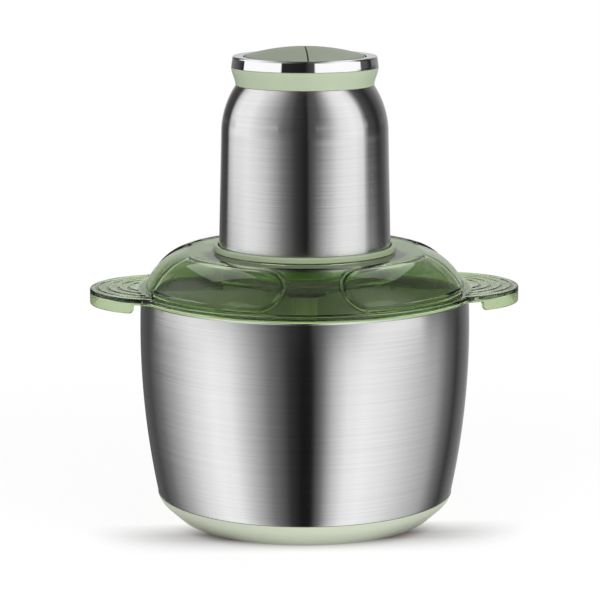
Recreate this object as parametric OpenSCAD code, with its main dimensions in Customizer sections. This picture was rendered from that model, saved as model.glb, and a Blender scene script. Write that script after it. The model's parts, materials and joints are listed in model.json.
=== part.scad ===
// Electric food chopper: steel bowl, S-shaped blades, domed lid and a lift-off motor head.
// Millimetres. Origin at the bottom centre of the base, +Z up, front towards -Y.

/* [Bowl] */
// Outer radius of the bowl where its side stands upright
bowl_r = 92.6; // [88:0.2:98]
// Height of the bowl's rim above the table
rim_z = 128.3; // [120:0.1:140]
// Height at which the bowl's side stands upright
upright_z = 105; // [98:1:112]
// Radius of the long curve of the bowl's side
side_curve_r = 455; // [400:5:600]
// Radius of the corner between the side and the floor
corner_r = 14; // [11:0.5:18]
// Thickness of the bowl's steel sheet
bowl_wall = 0.8; // [0.6:0.1:1]
// Height of the bowl's floor above the table
floor_z = 4; // [3.6:0.1:5]
// Radius of the rolled bead at the bowl's rim
bead_r = 1.1; // [0.9:0.1:1.3]
// Radius of the raised boss in the middle of the bowl's floor
boss_r = 14; // [12:0.5:18]
// Rise of that boss, which hides the pin's nut
boss_h = 4; // [3.6:0.1:5]

/* [Base] */
// Height of the boot's upper edge above the table
boot_h = 13.6; // [11:0.1:15]
// How far the boot's lip stands proud of the steel
boot_lip = 0.6; // [0.4:0.1:1.2]
// How far the boot's foot draws in from its lip
boot_draft = 8.6; // [6:0.1:10]
// Radius of the boot's convex side
boot_curve_r = 65; // [40:1:120]
// Radius of the boot's open middle
boot_open_r = 52; // [46:1:58]

/* [Spindle and blades] */
// Radius of the fixed steel pin
pin_r = 4; // [3.5:0.1:4.4]
// Height of the pin's top above the bowl's floor
pin_h = 54; // [45:1:58]
// Outer radius of the blade hub's tube
hub_r = 7; // [6.6:0.1:8]
// Length of the bush inside the hub
bush_len = 40; // [30:1:42]
// Radius reached by the blade tips
blade_tip_r = 72; // [60:1:76]
// Width of a blade at its root
blade_root_w = 21; // [17:0.5:24]
// Width of a blade near its tip
blade_tip_w = 9; // [7:0.5:12]
// Thickness of the blade sheet
blade_t = 1.5; // [1.2:0.1:2]
// Distance from the lower blade to the upper blade
blade_gap = 24; // [20:0.5:30]
// Fall of the lower blade's tips
blade_droop = 9; // [6:0.5:10]
// Rise of the upper blade's tips
blade_rise = 12; // [8:0.5:14]
// Distance across the flats of the drive hexagon
drive_af = 14; // [12:0.2:15]
// Outer radius of the blade hub's drive cap
cap_r = 12; // [11.6:0.1:12.4]

/* [Lid] */
// Thickness of the lid's flange
flange_t = 2.4; // [2:0.1:3]
// Height of the dome above the flange
dome_h = 20.5; // [18:0.5:24]
// Width of the flat shoulder between the dome and the flange's edge
shoulder_w = 5.9; // [5:0.1:7]
// Radius of the dome's side in section
dome_curve_r = 34; // [28:0.5:45]
// Width of the dome's flat top beside the well
plateau_w = 15; // [12:0.5:18]
// Wall of the dome
lid_wall = 2.6; // [2:0.1:3.2]
// Rise of the four raised windows above the dome's side
window_rise = 1.2; // [0.8:0.1:1.6]
// Angle from the ears' line to a window's square end
window_end_a = 16.5; // [14:0.5:20]
// Angle from the front to a window's round nose
window_nose_a = 10.3; // [8:0.1:14]
// Wall of the well that holds the motor head
well_wall = 2.3; // [2:0.1:3]
// Height of the bead round the well above the dome
well_bead_h = 3.3; // [2.5:0.1:4]
// Depth of the well's floor below the dome's top
well_depth = 12.5; // [11:0.1:14]
// Radius of the hole in the well's floor
well_hole_r = 16; // [15:0.5:18]
// Depth of the ring that plugs the bowl
plug_h = 8.6; // [7:0.1:10]
// Radius of an ear seen from above
ear_r = 41; // [36:0.5:44]
// How far an ear stands out beyond the flange
ear_out = 24.6; // [20:0.1:28]
// Depth of an ear including its skirt
ear_h = 8.5; // [7:0.1:10]

/* [Motor head] */
// Outer radius of the housing at its foot
housing_r = 48.3; // [48:0.1:50]
// How far the housing draws in from its foot to its shoulder
waist_in = 1.7; // [0.8:0.1:2.4]
// Radius of the housing's shoulder in section
crown_r = 48.4; // [46:0.2:56]
// Height of the straight side of the housing
side_h = 75; // [72:0.5:80]
// Height of the housing's curved shoulder
shoulder_h = 26.8; // [25:0.1:28]
// Thickness of the housing's steel
housing_wall = 0.8; // [0.6:0.1:1]
// Height of the coloured collar above the housing
collar_h = 10; // [9.4:0.1:12]
// How much the collar flares from the housing to the chrome band
collar_flare = 2.4; // [1.8:0.1:3]
// Height of the chrome band
band_h = 6.2; // [5.4:0.1:7]
// Width of the chrome band's top lip
band_lip = 6.7; // [6:0.1:7.4]
// Rise of the domed button top
button_dome_h = 5; // [3:0.1:6]
// Slit between the two buttons
button_slit = 0.8; // [0.6:0.1:1.2]
// Travel of a button
button_travel = 2; // [1:0.1:2]
// Radius of the hole through the cord gland
gland_bore_r = 3.1; // [2.6:0.1:3.2]

/* [Motor and gears] */
// Radius of the stator and its brackets
stator_r = 35; // [34.6:0.1:36]
// Bore of the stator
stator_bore_r = 19; // [18.8:0.1:19.4]
// Air gap between the stator and the armature
air_gap = 0.8; // [0.5:0.1:1]
// Height of the stator stack
stack_h = 25; // [20:0.5:26]
// Radius of the motor shaft
shaft_r = 2.5; // [2.2:0.1:2.8]
// Radius of the commutator
commutator_r = 8; // [7:0.1:9]
// Radius of the cooling fan
fan_r = 27; // [24:0.5:29]
// Module of the planetary gears
gear_module = 0.9; // [0.85:0.01:0.92]
// Teeth on the sun gear and on each planet
sun_teeth = 18; // [18:6:18]
// Face width of the planet gears
gear_face = 9; // [7:0.5:9.5]
// Radius of the output shaft
output_r = 5; // [4.5:0.1:5.2]

/* [Fits] */
// Gap between bodies that part or slide
seat_gap = 0.3; // [0.2:0.05:0.4]
// Radial clearance of the running bushes
running_gap = 0.05; // [0.02:0.01:0.08]
// Radial clearance of pieces that are assembled once
assembly_gap = 0.15; // [0.1:0.05:0.25]
// Radial clearance of the lid's skirt and well
lid_gap = 0.4; // [0.3:0.05:0.5]

/* [Hidden] */
$fn = 96;
far = 300;

// Colours
steel_c = "#c9cac8";
chrome_c = "#dfe1e2";
sage_c = "#b6c2a4";
button_c = "#8f9a86";
lid_c = [0.34, 0.42, 0.25, 0.6];
black_c = "#1c1d1e";
grey_c = "#6f7476";
copper_c = "#b4692f";
brass_c = "#c2a25a";
iron_c = "#7d7f82";
nylon_c = "#e6e2d6";
board_c = "#2f6b45";

// Points of an arc about (cx, cy) from angle a0 to angle a1
function arc(cx, cy, r, a0, a1, n = 8) =
  [for (i = [0:n]) let (a = a0 + (a1 - a0) * i / n) [cx + r * cos(a), cy + r * sin(a)]];

// Arc from p to q that bulges away from the side to the left of the way from p to q
function bulge(p, q, r, n = 8) =
  let (d = q - p, len = norm(d), h = sqrt(r * r - len * len / 4),
    c = (p + q) / 2 + [-d[1], d[0]] / len * h,
    a0 = atan2(p[1] - c[1], p[0] - c[0]), a1 = atan2(q[1] - c[1], q[0] - c[0]))
  arc(c[0], c[1], r, a0, a1, n);

// The list without its first point, and the list from last to first
function tail(v) = [for (i = [1:len(v) - 1]) v[i]];
function backwards(v) = [for (i = [len(v) - 1:-1:0]) v[i]];

// Bowl section: the corner and the long side are two arcs that meet on one tangent
side_cx = bowl_r - side_curve_r;
corner_z = floor_z + corner_r;
corner_x = side_cx + sqrt(pow(side_curve_r - corner_r, 2) - pow(corner_z - upright_z, 2));
tangent_a = asin((upright_z - corner_z) / (side_curve_r - corner_r));
function side_r(z) = side_cx + sqrt(pow(side_curve_r, 2) - pow(z - upright_z, 2));
function bowl_line(inset, z1) = concat(
  arc(corner_x, corner_z, corner_r - inset, -90, -tangent_a, 8),
  tail(arc(side_cx, upright_z, side_curve_r - inset, -tangent_a,
    asin((z1 - upright_z) / (side_curve_r - inset)), 14)));

boss_z = floor_z + boss_h;
bead_z = rim_z - bead_r;
bead_cr = side_r(bead_z) + 0.78 * bead_r;
rim_ir = side_r(rim_z) - bowl_wall;
stud_r = pin_r - 1;
stud_hole_r = stud_r + 0.1;

// Base
lip_r = corner_x + sqrt(pow(corner_r, 2) - pow(boot_h - corner_z, 2)) + boot_lip;
boot_toe_r = lip_r - boot_draft;
toe_round = 1.2;

// Spindle
seal_t = 0.8;
pin_flange_t = 2;
pin_flange_r = 11;
pin_flange_z = boss_z + bowl_wall + seal_t;
pin_seat_z = pin_flange_z + pin_flange_t;
pin_top_z = floor_z + pin_h;

// Lid levels
lid_z = rim_z + seat_gap;
flange_z = lid_z + flange_t;
plateau_z = flange_z + dome_h;
well_floor_z = plateau_z - well_depth;
well_floor_t = 2.5;
well_under_z = well_floor_z - well_floor_t;
hub_seal_r = well_hole_r + 12;

// Lid radii
skirt_wall = 1.5;
skirt_h = 1.2;
flange_r = bead_cr + bead_r + lid_gap + skirt_wall;
foot_r = flange_r - shoulder_w;
well_ir = housing_r + lid_gap;
well_or = well_ir + well_wall;
plateau_r = well_or + plateau_w;
plug_wall = 1.8;
gasket_w = 1.4;
gasket_r = rim_ir - seat_gap;
plug_r = gasket_r - gasket_w - 0.1;
ear_x = flange_r + ear_out - ear_r;
ear_wall = 2.2;

// Blade stack
hub_z = pin_seat_z + seat_gap;
nut_h = 8;
blade_nut_r = 12;
low_blade_z = hub_z + nut_h;
top_blade_z = low_blade_z + blade_gap;
cap_top_z = well_floor_z - 1.7;
cap_h = 10.8;
socket_depth = 9.1;
socket_gap = 0.3;
hub_top_z = cap_top_z - cap_h + 0.5;

// Motor head levels, from the foot up
head_z = well_floor_z + seat_gap;
plate_t = 4;
plate_flange_t = 2.7;
housing_z = head_z + plate_flange_t;
plate_rim_h = 10.7;
shoulder_z = housing_z + side_h;
housing_top_z = shoulder_z + shoulder_h;
waist_r = housing_r - waist_in;
crown_cx = waist_r - crown_r;
neck_r = crown_cx + sqrt(crown_r * crown_r - shoulder_h * shoulder_h);
gear_floor_z = head_z + plate_t;
carrier_z = gear_floor_z + 2;
carrier_t = 3;
planet_z = carrier_z + carrier_t + 0.7;
gearbox_top_z = planet_z + gear_face + 2;
cover_t = 2.5;
shroud_z = gearbox_top_z + cover_t;
fan_z = shroud_z + 3.5;
fan_h = 6.5;
lower_bracket_z = fan_z + fan_h + 1.5;
bracket_t = 2.5;
stator_z = lower_bracket_z + bracket_t + 7.5;
stator_top_z = stator_z + stack_h;
coil_over = 6.5;
upper_bracket_z = stator_top_z + 17;
bearing_r = 6.5;
bearing_w = 4;
board_z = upper_bracket_z + bracket_t + 7.5;
board_t = 1.6;
switch_h = 6.5;
plunger_h = 0.8;
collar_z = housing_top_z;
band_z = collar_z + collar_h;
band_r = neck_r + collar_flare;
band_top_z = band_z + band_h;
deck_z = collar_z + 3.2;
deck_t = 2.5;
deck_top_z = deck_z + deck_t;
ledge_r = neck_r - 2.1;
deck_r = ledge_r - seat_gap;
button_r = band_r - band_lip - 0.6;
button_under_z = band_top_z - 3.5;
stem_r = 3;
switch_x = stem_r + 13;
switch_l = 12.8;
switch_w = 6;
stem_z = board_z + board_t + switch_h + plunger_h + seat_gap + button_travel;
board_r = deck_r - 2.1;
post_y = deck_r - 10;
post_x = post_y / 2;
cap_l = 14;
cap_w = 9;
cap_tall = 7.5;

// Gears: sun and planets have the same teeth, so the ring has three times as many
sun_pitch_r = gear_module * sun_teeth / 2;
ring_pitch_r = 3 * sun_pitch_r;
planet_cr = 2 * sun_pitch_r;
pressure_a = 20;
addendum = 0.95 * gear_module;
dedendum = 1.25 * gear_module;
tooth_thin = 0.05;
planet_pin_r = 2;
planet_tip_r = sun_pitch_r + addendum;
carrier_r = planet_cr + 5.3;
ring_or = ring_pitch_r + 6.7;
foot_cr = ring_or + 3;

function inv(a) = tan(a) * 180 / PI - a;
function roll_a(r, base_r) = r <= base_r ? 0 : acos(base_r / r);
function half_tooth(r, pitch_r, teeth, thin) = 90 / teeth - thin / pitch_r * 180 / PI
  + inv(pressure_a) - inv(roll_a(r, pitch_r * cos(pressure_a)));
function gear_line(teeth, root_r, tip_r, thin) =
  let (pitch_r = gear_module * teeth / 2, base_r = pitch_r * cos(pressure_a),
    start_r = max(root_r, base_r),
    radii = concat(root_r < base_r - 0.02 ? [root_r] : [],
      [for (i = [0:3]) start_r + (tip_r - start_r) * i / 3]))
  [for (t = [0:teeth - 1]) for (s = [-1, 1]) for (i = [0:len(radii) - 1])
    let (r = radii[s < 0 ? i : len(radii) - 1 - i],
      a = 360 * t / teeth + s * half_tooth(r, pitch_r, teeth, thin))
    [r * cos(a), r * sin(a)]];

// Section of the dome, drawn in by the inset
dome_line = bulge([foot_r, flange_z], [plateau_r, plateau_z], dome_curve_r, 10);
function dome_centre() = let (p = [foot_r, flange_z], q = [plateau_r, plateau_z], d = q - p,
  h = sqrt(pow(dome_curve_r, 2) - pow(norm(d), 2) / 4)) (p + q) / 2 + [-d[1], d[0]] / norm(d) * h;
function dome_section(inset) =
  let (c = dome_centre(), r = dome_curve_r - inset,
    a0 = asin((lid_z - 2 - c[1]) / r), a1 = asin((plateau_z - inset - c[1]) / r))
  concat([[20, lid_z - 2]], arc(c[0], c[1], r, a0, min(a1, 90), 10), [[20, plateau_z - inset]]);

// Plan of one raised window: a square end near the ear, and a nose that is a half circle on the dome's side
dome_c = dome_centre();
dome_foot_a = atan2(flange_z - dome_c[1], foot_r - dome_c[0]);
dome_top_a = atan2(plateau_z - dome_c[1], plateau_r - dome_c[0]);
dome_len = dome_curve_r * (dome_top_a - dome_foot_a) * PI / 180;
function side_at(s) = dome_c[0] + dome_curve_r * cos(dome_top_a - s / dome_curve_r * 180 / PI);
function window_plan(inset) =
  let (mid = dome_len / 2, nose = [for (i = [0:14]) let (t = 90 - 180 * i / 14,
      s = mid + (mid - inset) * sin(t), side = mid - (mid - inset) * cos(t))
      [side_at(s), 90 - window_nose_a - side / side_at(s) * 180 / PI]],
    first = nose[0], last = nose[14], end_a = window_end_a + inset / plateau_r * 180 / PI,
    lap = inset > 0 ? 0 : 0.4)
  concat(arc(0, 0, first[0] + lap, end_a, first[1], 10),
    [for (n = nose) n[0] * [cos(n[1]), sin(n[1])]],
    arc(0, 0, last[0] - lap, last[1], end_a, 8));

// Ring with a square section, or a washer
module tube(r, bore, z0, z1) {
  translate([0, 0, z0]) difference() {
    cylinder(r = r, h = z1 - z0);
    translate([0, 0, -1]) cylinder(r = bore, h = z1 - z0 + 2);
  }
}

module rod(r, z0, z1) {
  translate([0, 0, z0]) cylinder(r = r, h = z1 - z0);
}

module hex_rod(af, z0, z1) {
  translate([0, 0, z0]) cylinder(r = af / 2 / cos(30), h = z1 - z0, $fn = 6);
}

// Sector of a ring between two angles either side of an axis
module sector(r0, r1, half_a, z0, z1) {
  translate([0, 0, z0]) intersection() {
    difference() {
      cylinder(r = r1, h = z1 - z0);
      translate([0, 0, -1]) cylinder(r = r0, h = z1 - z0 + 2);
    }
    translate([0, 0, -1]) linear_extrude(z1 - z0 + 2)
      polygon([[0, 0], [far * cos(half_a), -far * sin(half_a)], [far * cos(half_a), far * sin(half_a)]]);
  }
}

module bowl() color(steel_c) {
  k = bowl_wall * tan(22.5);
  rotate_extrude() polygon(concat(
    [[stud_hole_r, boss_z], [boss_r, boss_z], [boss_r + boss_h, floor_z]],
    bowl_line(0, bead_z - 0.85 * bead_r),
    arc(bead_cr, bead_z, bead_r, -130, 170, 12),
    backwards(bowl_line(bowl_wall, bead_z)),
    [[boss_r + boss_h + k, floor_z + bowl_wall], [boss_r + k, boss_z + bowl_wall],
      [stud_hole_r, boss_z + bowl_wall]]));
}

module base_boot() color(sage_c) difference() {
  seat_r = corner_r + assembly_gap;
  rotate_extrude() polygon(concat(
    [[boot_open_r, 0]],
    arc(boot_toe_r - toe_round, toe_round, toe_round, -90, -25, 4),
    tail(bulge([boot_toe_r - 0.08, toe_round * 0.58], [lip_r, boot_h], boot_curve_r, 7)),
    backwards(arc(corner_x, corner_z, seat_r, -85, -asin((corner_z - boot_h) / seat_r), 8)),
    [[corner_x - 3, floor_z], [boot_open_r, floor_z]]));
  for (r = [boot_open_r + 5, boot_open_r + 11]) tube(r + 2, r, -1, 0.8);
}

module spindle_pin() color(steel_c) {
  rod(pin_r, pin_seat_z, pin_top_z - 1);
  translate([0, 0, pin_top_z - 1]) cylinder(r1 = pin_r, r2 = pin_r - 1, h = 1);
  rod(pin_flange_r, pin_flange_z, pin_seat_z);
  rod(stud_r, floor_z + 0.3, pin_flange_z);
}

module spindle_seal() color(black_c) tube(pin_flange_r, stud_r + 0.05, boss_z + bowl_wall, pin_flange_z);

module spindle_nut() color(steel_c) difference() {
  hex_rod(10, floor_z + 0.4, boss_z);
  rod(stud_r + 0.02, 0, boss_z + 1);
}

// Blade stack, from the nut at the bottom to the drive cap at the top
hub_bore_r = pin_r + 1.5;
module blade_hub() color(sage_c) difference() {
  union() {
    rod(hub_r, hub_z, hub_top_z);
    rod(hub_r + 3.5, top_blade_z + blade_t, top_blade_z + blade_t + 4);
    for (a = [45:90:315]) rotate(a) translate([hub_r - 0.5, -0.9, top_blade_z + blade_t + 4])
      cube([1.3, 1.8, cap_top_z - cap_h - top_blade_z - blade_t - 4]);
  }
  rod(hub_bore_r, hub_z - 1, pin_top_z + 2);
}

module hub_bush() color(brass_c)
  tube(hub_bore_r - 0.02, pin_r + running_gap, pin_top_z - 3 - bush_len, pin_top_z - 3);

module drive_cap() color(black_c) difference() {
  union() {
    rod(cap_r, cap_top_z - cap_h, cap_top_z - 1);
    translate([0, 0, cap_top_z - 1]) cylinder(r1 = cap_r, r2 = cap_r - 1, h = 1);
  }
  rod(hub_r + 0.02, cap_top_z - cap_h - 1, hub_top_z);
  hex_rod(drive_af + 2 * socket_gap, cap_top_z - socket_depth, cap_top_z + 1);
}

// One arm: a lofted sheet that sweeps back, narrows, and rises or falls, with a ground front edge
arm_steps = 12;
function arm_section(t, lift) =
  let (r = 8 + (blade_tip_r - 8) * t, sweep = 26 * t * t,
    w = blade_root_w + (blade_tip_w - blade_root_w) * pow(t, 0.8),
    u = max(0, r - blade_nut_r - 0.5) / (blade_tip_r - blade_nut_r - 0.5),
    z = lift * u * u * (3 - 2 * u), bevel = 0.35 * w)
  [for (p = [[-w / 2, 0], [w / 2, 0], [w / 2, 0.3], [w / 2 - bevel, blade_t], [-w / 2, blade_t]])
    let (a = -sweep) [r * cos(a) - p[0] * sin(a), r * sin(a) + p[0] * cos(a), z + p[1]]];
module blade_arm(lift) {
  flat_t = (blade_nut_r + 0.5 - 8) / (blade_tip_r - 8);
  pts = concat(arm_section(0, lift),
    [for (i = [0:arm_steps - 1]) each arm_section(flat_t + (1 - flat_t) * i / (arm_steps - 1), lift)]);
  sides = [for (i = [0:arm_steps - 1]) for (j = [0:4])
    let (a = i * 5 + j, b = i * 5 + (j + 1) % 5) each [[a, b + 5, b], [a, a + 5, b + 5]]];
  polyhedron(pts, concat(sides, [[0, 1, 2, 3, 4], [for (j = [4:-1:0]) arm_steps * 5 + j]]), convexity = 4);
}
module blade_pair(z, lift) difference() {
  translate([0, 0, z]) union() {
    for (a = [0, 180]) rotate(a) blade_arm(lift);
    cylinder(r = blade_nut_r - 0.5, h = blade_t);
  }
  rod(hub_r + 0.05, z - far / 10, z + far / 10);
}

module lower_blade() color(chrome_c) rotate(20) blade_pair(low_blade_z, -blade_droop);
module upper_blade() color(chrome_c) rotate(110) blade_pair(top_blade_z, blade_rise);
module blade_spacer() color(sage_c)
  tube(blade_nut_r - 1.5, hub_r + 0.05, low_blade_z + blade_t, top_blade_z);

module blade_nut() color(sage_c) difference() {
  rod(blade_nut_r, hub_z, low_blade_z);
  rod(hub_r + 0.05, hub_z - 1, low_blade_z + 1);
  for (a = [0:30:330]) rotate(a) translate([blade_nut_r + 0.5, 0, hub_z - 1]) cylinder(r = 1.2, h = nut_h - 1);
}

// Lid
module dome_block(inset) rotate_extrude() polygon(dome_section(inset));

module window_block(inset) intersection() {
  dome_block(inset - window_rise);
  translate([0, 0, flange_z - 0.5]) linear_extrude(far) for (s = [-1, 1]) for (t = [-1, 1]) scale([s, t])
    polygon(window_plan(inset));
}

module ear_plan() {
  reach = ear_r + 12;
  fillet_x = (pow(flange_r + 12, 2) - reach * reach + ear_x * ear_x) / (2 * ear_x);
  fillet_y = sqrt(pow(flange_r + 12, 2) - fillet_x * fillet_x);
  a_flange = 180 + atan2(fillet_y, fillet_x);
  a_ear = 180 + atan2(fillet_y, fillet_x - ear_x);
  polygon(concat(arc(ear_x, 0, ear_r, -100, 100, 28), [[ear_x - 15, 30], [ear_x - 15, -30]]));
  for (s = [-1, 1]) scale([1, s]) polygon(concat(
    backwards(arc(fillet_x, fillet_y, 12, a_flange, a_ear, 6)), [[ear_x - 3, 30], [ear_x + 8, 30]]));
}

module ear() {
  groove_x = flange_r - 3;
  difference() {
    translate([0, 0, lid_z]) linear_extrude(flange_t) ear_plan();
    for (r = [ear_r - 4.7, ear_r - 10.4, ear_r - 16.5, ear_r - 22.2]) intersection() {
      translate([ear_x, 0, 0]) tube(r + 0.55, r - 0.55, flange_z - 0.8, flange_z + 1);
      translate([groove_x, -far / 2, 0]) cube([far, far, far]);
    }
  }
  intersection() {
    translate([ear_x, 0, 0]) tube(ear_r, ear_r - ear_wall, flange_z - ear_h, flange_z - 1);
    translate([flange_r + 2, -far / 2, 0]) cube([far, far, far]);
  }
}

module lid() color(lid_c) {
  difference() {
    union() {
      rotate_extrude() polygon(concat([[well_or - 1, lid_z - skirt_h], [flange_r, lid_z - skirt_h]],
        arc(flange_r - 0.8, flange_z - 0.8, 0.8, 0, 90, 4), [[well_or - 1, flange_z]]));
      dome_block(0);
      window_block(0);
      for (s = [0, 180]) rotate(s) ear();
    }
    tube(flange_r - skirt_wall, well_or - 2, lid_z - skirt_h - 1, lid_z);
    dome_block(lid_wall);
    window_block(lid_wall);
    rod(well_or - 1, lid_z - 3, far);
  }
  tube(well_or, well_ir, well_under_z, plateau_z + 1);
  rotate_extrude() polygon(concat([[well_ir, plateau_z]], [[well_or - 0.9, plateau_z]],
    arc(well_or - 1.6, plateau_z + well_bead_h - 0.7, 0.7, 0, 180, 6)));
  tube(well_ir + 0.5, well_hole_r, well_under_z, well_floor_z);
  tube(hub_seal_r + 2, hub_seal_r + 0.2, well_under_z - 4.5, well_under_z + 0.5);
  tube(plug_r, plug_r - plug_wall, lid_z - plug_h, lid_z + 0.5);
  for (a = [24, 156, 204, 336]) baffle(a);
}

// Stiffening rib under the dome, from the well's wall to the dome's side
module baffle(a) intersection() {
  dome_block(lid_wall / 2);
  rotate(a) translate([well_or - 1, -1, flange_z + 2]) cube([far, 2, far]);
}

module lid_gasket() color(nylon_c) {
  z0 = lid_z - plug_h + 2;
  rotate_extrude() polygon(concat([[plug_r + 0.1, z0]],
    [for (i = [0:8]) [plug_r + 0.1 + gasket_w * (i % 2 == 0 ? 0.55 : 1), z0 + 4.5 * i / 8]],
    [[plug_r + 0.1, z0 + 4.5]]));
}

module hub_gasket() color(black_c) {
  lip_r0 = cap_r + 0.5;
  tube(hub_seal_r, lip_r0 + 3, well_under_z - 1.8, well_under_z);
  rotate_extrude() polygon([[lip_r0 + 4, well_under_z], [lip_r0 + 3, well_under_z],
    [lip_r0, well_under_z - 4.6], [lip_r0 + 0.8, well_under_z - 5], [lip_r0 + 4, well_under_z - 1.8]]);
}

// Motor head casing
function housing_line(inset) = concat([[housing_r - inset, housing_z]],
  arc(crown_cx, shoulder_z, crown_r - inset, 0, asin(shoulder_h / (crown_r - inset)), 12));
module housing_shell() color(steel_c)
  rotate_extrude() polygon(concat(housing_line(0), backwards(housing_line(housing_wall))));

bush_or = output_r + 2.5;
module base_plate() color(black_c) difference() {
  union() {
    rod(housing_r - 0.1, head_z, head_z + plate_flange_t);
    rod(housing_r - 3.8, head_z + 1, gear_floor_z);
    rod(10, head_z + 1, gear_floor_z + 1.5);
    tube(housing_r - housing_wall - 0.3, housing_r - 3.8, head_z + 1, head_z + plate_rim_h);
  }
  rod(bush_or + 0.02, head_z - 1, far);
  for (a = [45:90:315]) rotate(a) translate([foot_cr, 0, 0]) rod(1.45, head_z + 1, far);
  for (a = [0:60:300]) rotate(a) translate([housing_r - 8.3, 0, 0]) rod(2, head_z - 1, head_z + 0.8);
}

module output_bush() color(brass_c) tube(bush_or, output_r + running_gap, head_z, gear_floor_z + 1.5);

module ring_gear() color(nylon_c) difference() {
  union() {
    rod(ring_or, gear_floor_z, gearbox_top_z);
    for (a = [45:90:315]) rotate(a) translate([foot_cr, 0, 0]) rod(4.5, gear_floor_z, gear_floor_z + 2.7);
  }
  translate([0, 0, gear_floor_z - 1]) linear_extrude(far)
    polygon(gear_line(3 * sun_teeth, ring_pitch_r - addendum, ring_pitch_r + dedendum, -tooth_thin));
  rod(ring_pitch_r + dedendum + 0.4, gear_floor_z - 1, planet_z - 0.4);
  rod(ring_pitch_r + dedendum + 0.4, planet_z + gear_face + 0.4, far);
  for (a = [45:90:315]) rotate(a) translate([foot_cr, 0, 0]) rod(1.5, 0, far);
}

module screw(r, z_head, z_tip, head_r, head_h) {
  rod(head_r, min(z_head, z_head + head_h), max(z_head, z_head + head_h));
  rod(r, min(z_head, z_tip), max(z_head, z_tip));
}

module gearbox_screws() color(iron_c)
  for (a = [45:90:315]) rotate(a) translate([foot_cr, 0, 0])
    screw(1.4, gear_floor_z + 2.7, head_z + 1.2, 2.8, 2.2);

module gearbox_cover() color(iron_c) tube(stator_r, shaft_r + 1, gearbox_top_z, shroud_z);

module fan_shroud() color(black_c) difference() {
  tube(stator_r - 1, stator_r - 3, shroud_z, stator_z);
  for (a = [0:30:150]) rotate(a) translate([-far / 2, -4, fan_z - 1]) cube([far, 8, fan_h]);
}

module lower_bracket() color(iron_c) difference() {
  union() {
    rod(stator_r - 3.02, lower_bracket_z, lower_bracket_z + bracket_t);
    rod(bearing_r + 2.5, lower_bracket_z - 0.8, lower_bracket_z + bearing_w - 0.8);
  }
  rod(bearing_r + 0.02, 0, far);
  for (a = [30:60:330]) rotate(a) translate([20, 0, 0]) rod(6, 0, far);
}

module motor_bearings() color(chrome_c)
  for (z = [lower_bracket_z - 0.8, upper_bracket_z + 1]) tube(bearing_r, shaft_r + running_gap, z, z + bearing_w);

module stator_core() color(iron_c) {
  tube(stator_r, stator_r - 5, stator_z, stator_top_z);
  for (a = [0, 180]) rotate(a) sector(stator_bore_r, stator_r - 4, 39, stator_z, stator_top_z);
}

module field_coils() color(copper_c) for (a = [0, 180]) rotate(a) difference() {
  sector(stator_bore_r + 1, stator_r - 6, 60, stator_z - coil_over, stator_top_z + coil_over);
  sector(stator_bore_r, stator_r, 40, stator_z - 0.2, stator_top_z + 0.2);
}

module upper_bracket() color(iron_c) difference() {
  union() {
    rod(stator_r, upper_bracket_z, upper_bracket_z + bracket_t);
    rod(bearing_r + 2.5, upper_bracket_z, upper_bracket_z + bearing_w + 2);
    for (a = [45:90:315]) rotate(a) translate([stator_r - 2.6, 0, 0]) rod(2.2, stator_top_z, upper_bracket_z);
  }
  rod(shaft_r + 1, 0, far);
  rod(bearing_r + 0.02, 0, upper_bracket_z + 1 + bearing_w);
  for (a = [0, 180]) rotate(a) translate([stator_r - 10.5, 0, 0]) rod(2.2, 0, far);
  for (a = [0, 180]) rotate(a) translate([3.4, brush_end + 1, 0]) rod(1.6, 0, far);
  for (a = [45:90:315]) rotate(a) translate([stator_r - 16, 0, 0]) rod(6, 0, far);
}

// Brushes slide in boxes that hang from the upper bracket
brush_w = 6;
brush_h = 8;
brush_end = 25;
brush_z = stator_top_z + coil_over - 0.5;
module brush_holders() color(brass_c) for (a = [0, 180]) rotate(a) difference() {
  translate([-brush_w / 2 - 1.4, 11, brush_z - 1.4])
    cube([brush_w + 2.8, brush_end - 11, upper_bracket_z - brush_z + 1.4]);
  translate([-brush_w / 2 - 0.2, 10, brush_z - 0.2]) cube([brush_w + 0.4, brush_end - 12, brush_h + 0.4]);
}

module carbon_brushes() color(black_c) for (a = [0, 180]) rotate(a) difference() {
  translate([-brush_w / 2, commutator_r - 1, brush_z]) cube([brush_w, 13, brush_h]);
  rod(commutator_r + 0.3, 0, far);
}

module circuit_board() color(board_c) difference() {
  rod(board_r, board_z, board_z + board_t);
  for (a = [0, 180]) rotate(a) translate([post_x, post_y, 0]) rod(1.3, 0, far);
}

module capacitor() color(button_c) translate([-cap_l / 2, -cap_w - switch_w / 2 - 7, board_z + board_t])
  cube([cap_l, cap_w, cap_tall]);

module microswitches() color(black_c) for (s = [-1, 1]) {
  translate([s * switch_x - switch_l / 2, -switch_w / 2, board_z + board_t]) cube([switch_l, switch_w, switch_h]);
  translate([s * switch_x, 0, 0]) rod(1.5, board_z + board_t + switch_h, board_z + board_t + switch_h + plunger_h);
}

module board_screws() color(iron_c) for (a = [0, 180]) rotate(a) translate([post_x, post_y, 0])
  screw(1.2, board_z, deck_z - 3, 2.6, -2);

module lead_wires() color("#a03a2c") {
  for (a = [0, 180]) rotate(a) {
    translate([stator_r - 10.5, 0, 0]) rod(0.9, stator_top_z + coil_over, board_z);
    translate([3.4, brush_end + 0.9, 0]) rod(0.9, brush_z, board_z);
  }
}

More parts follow.
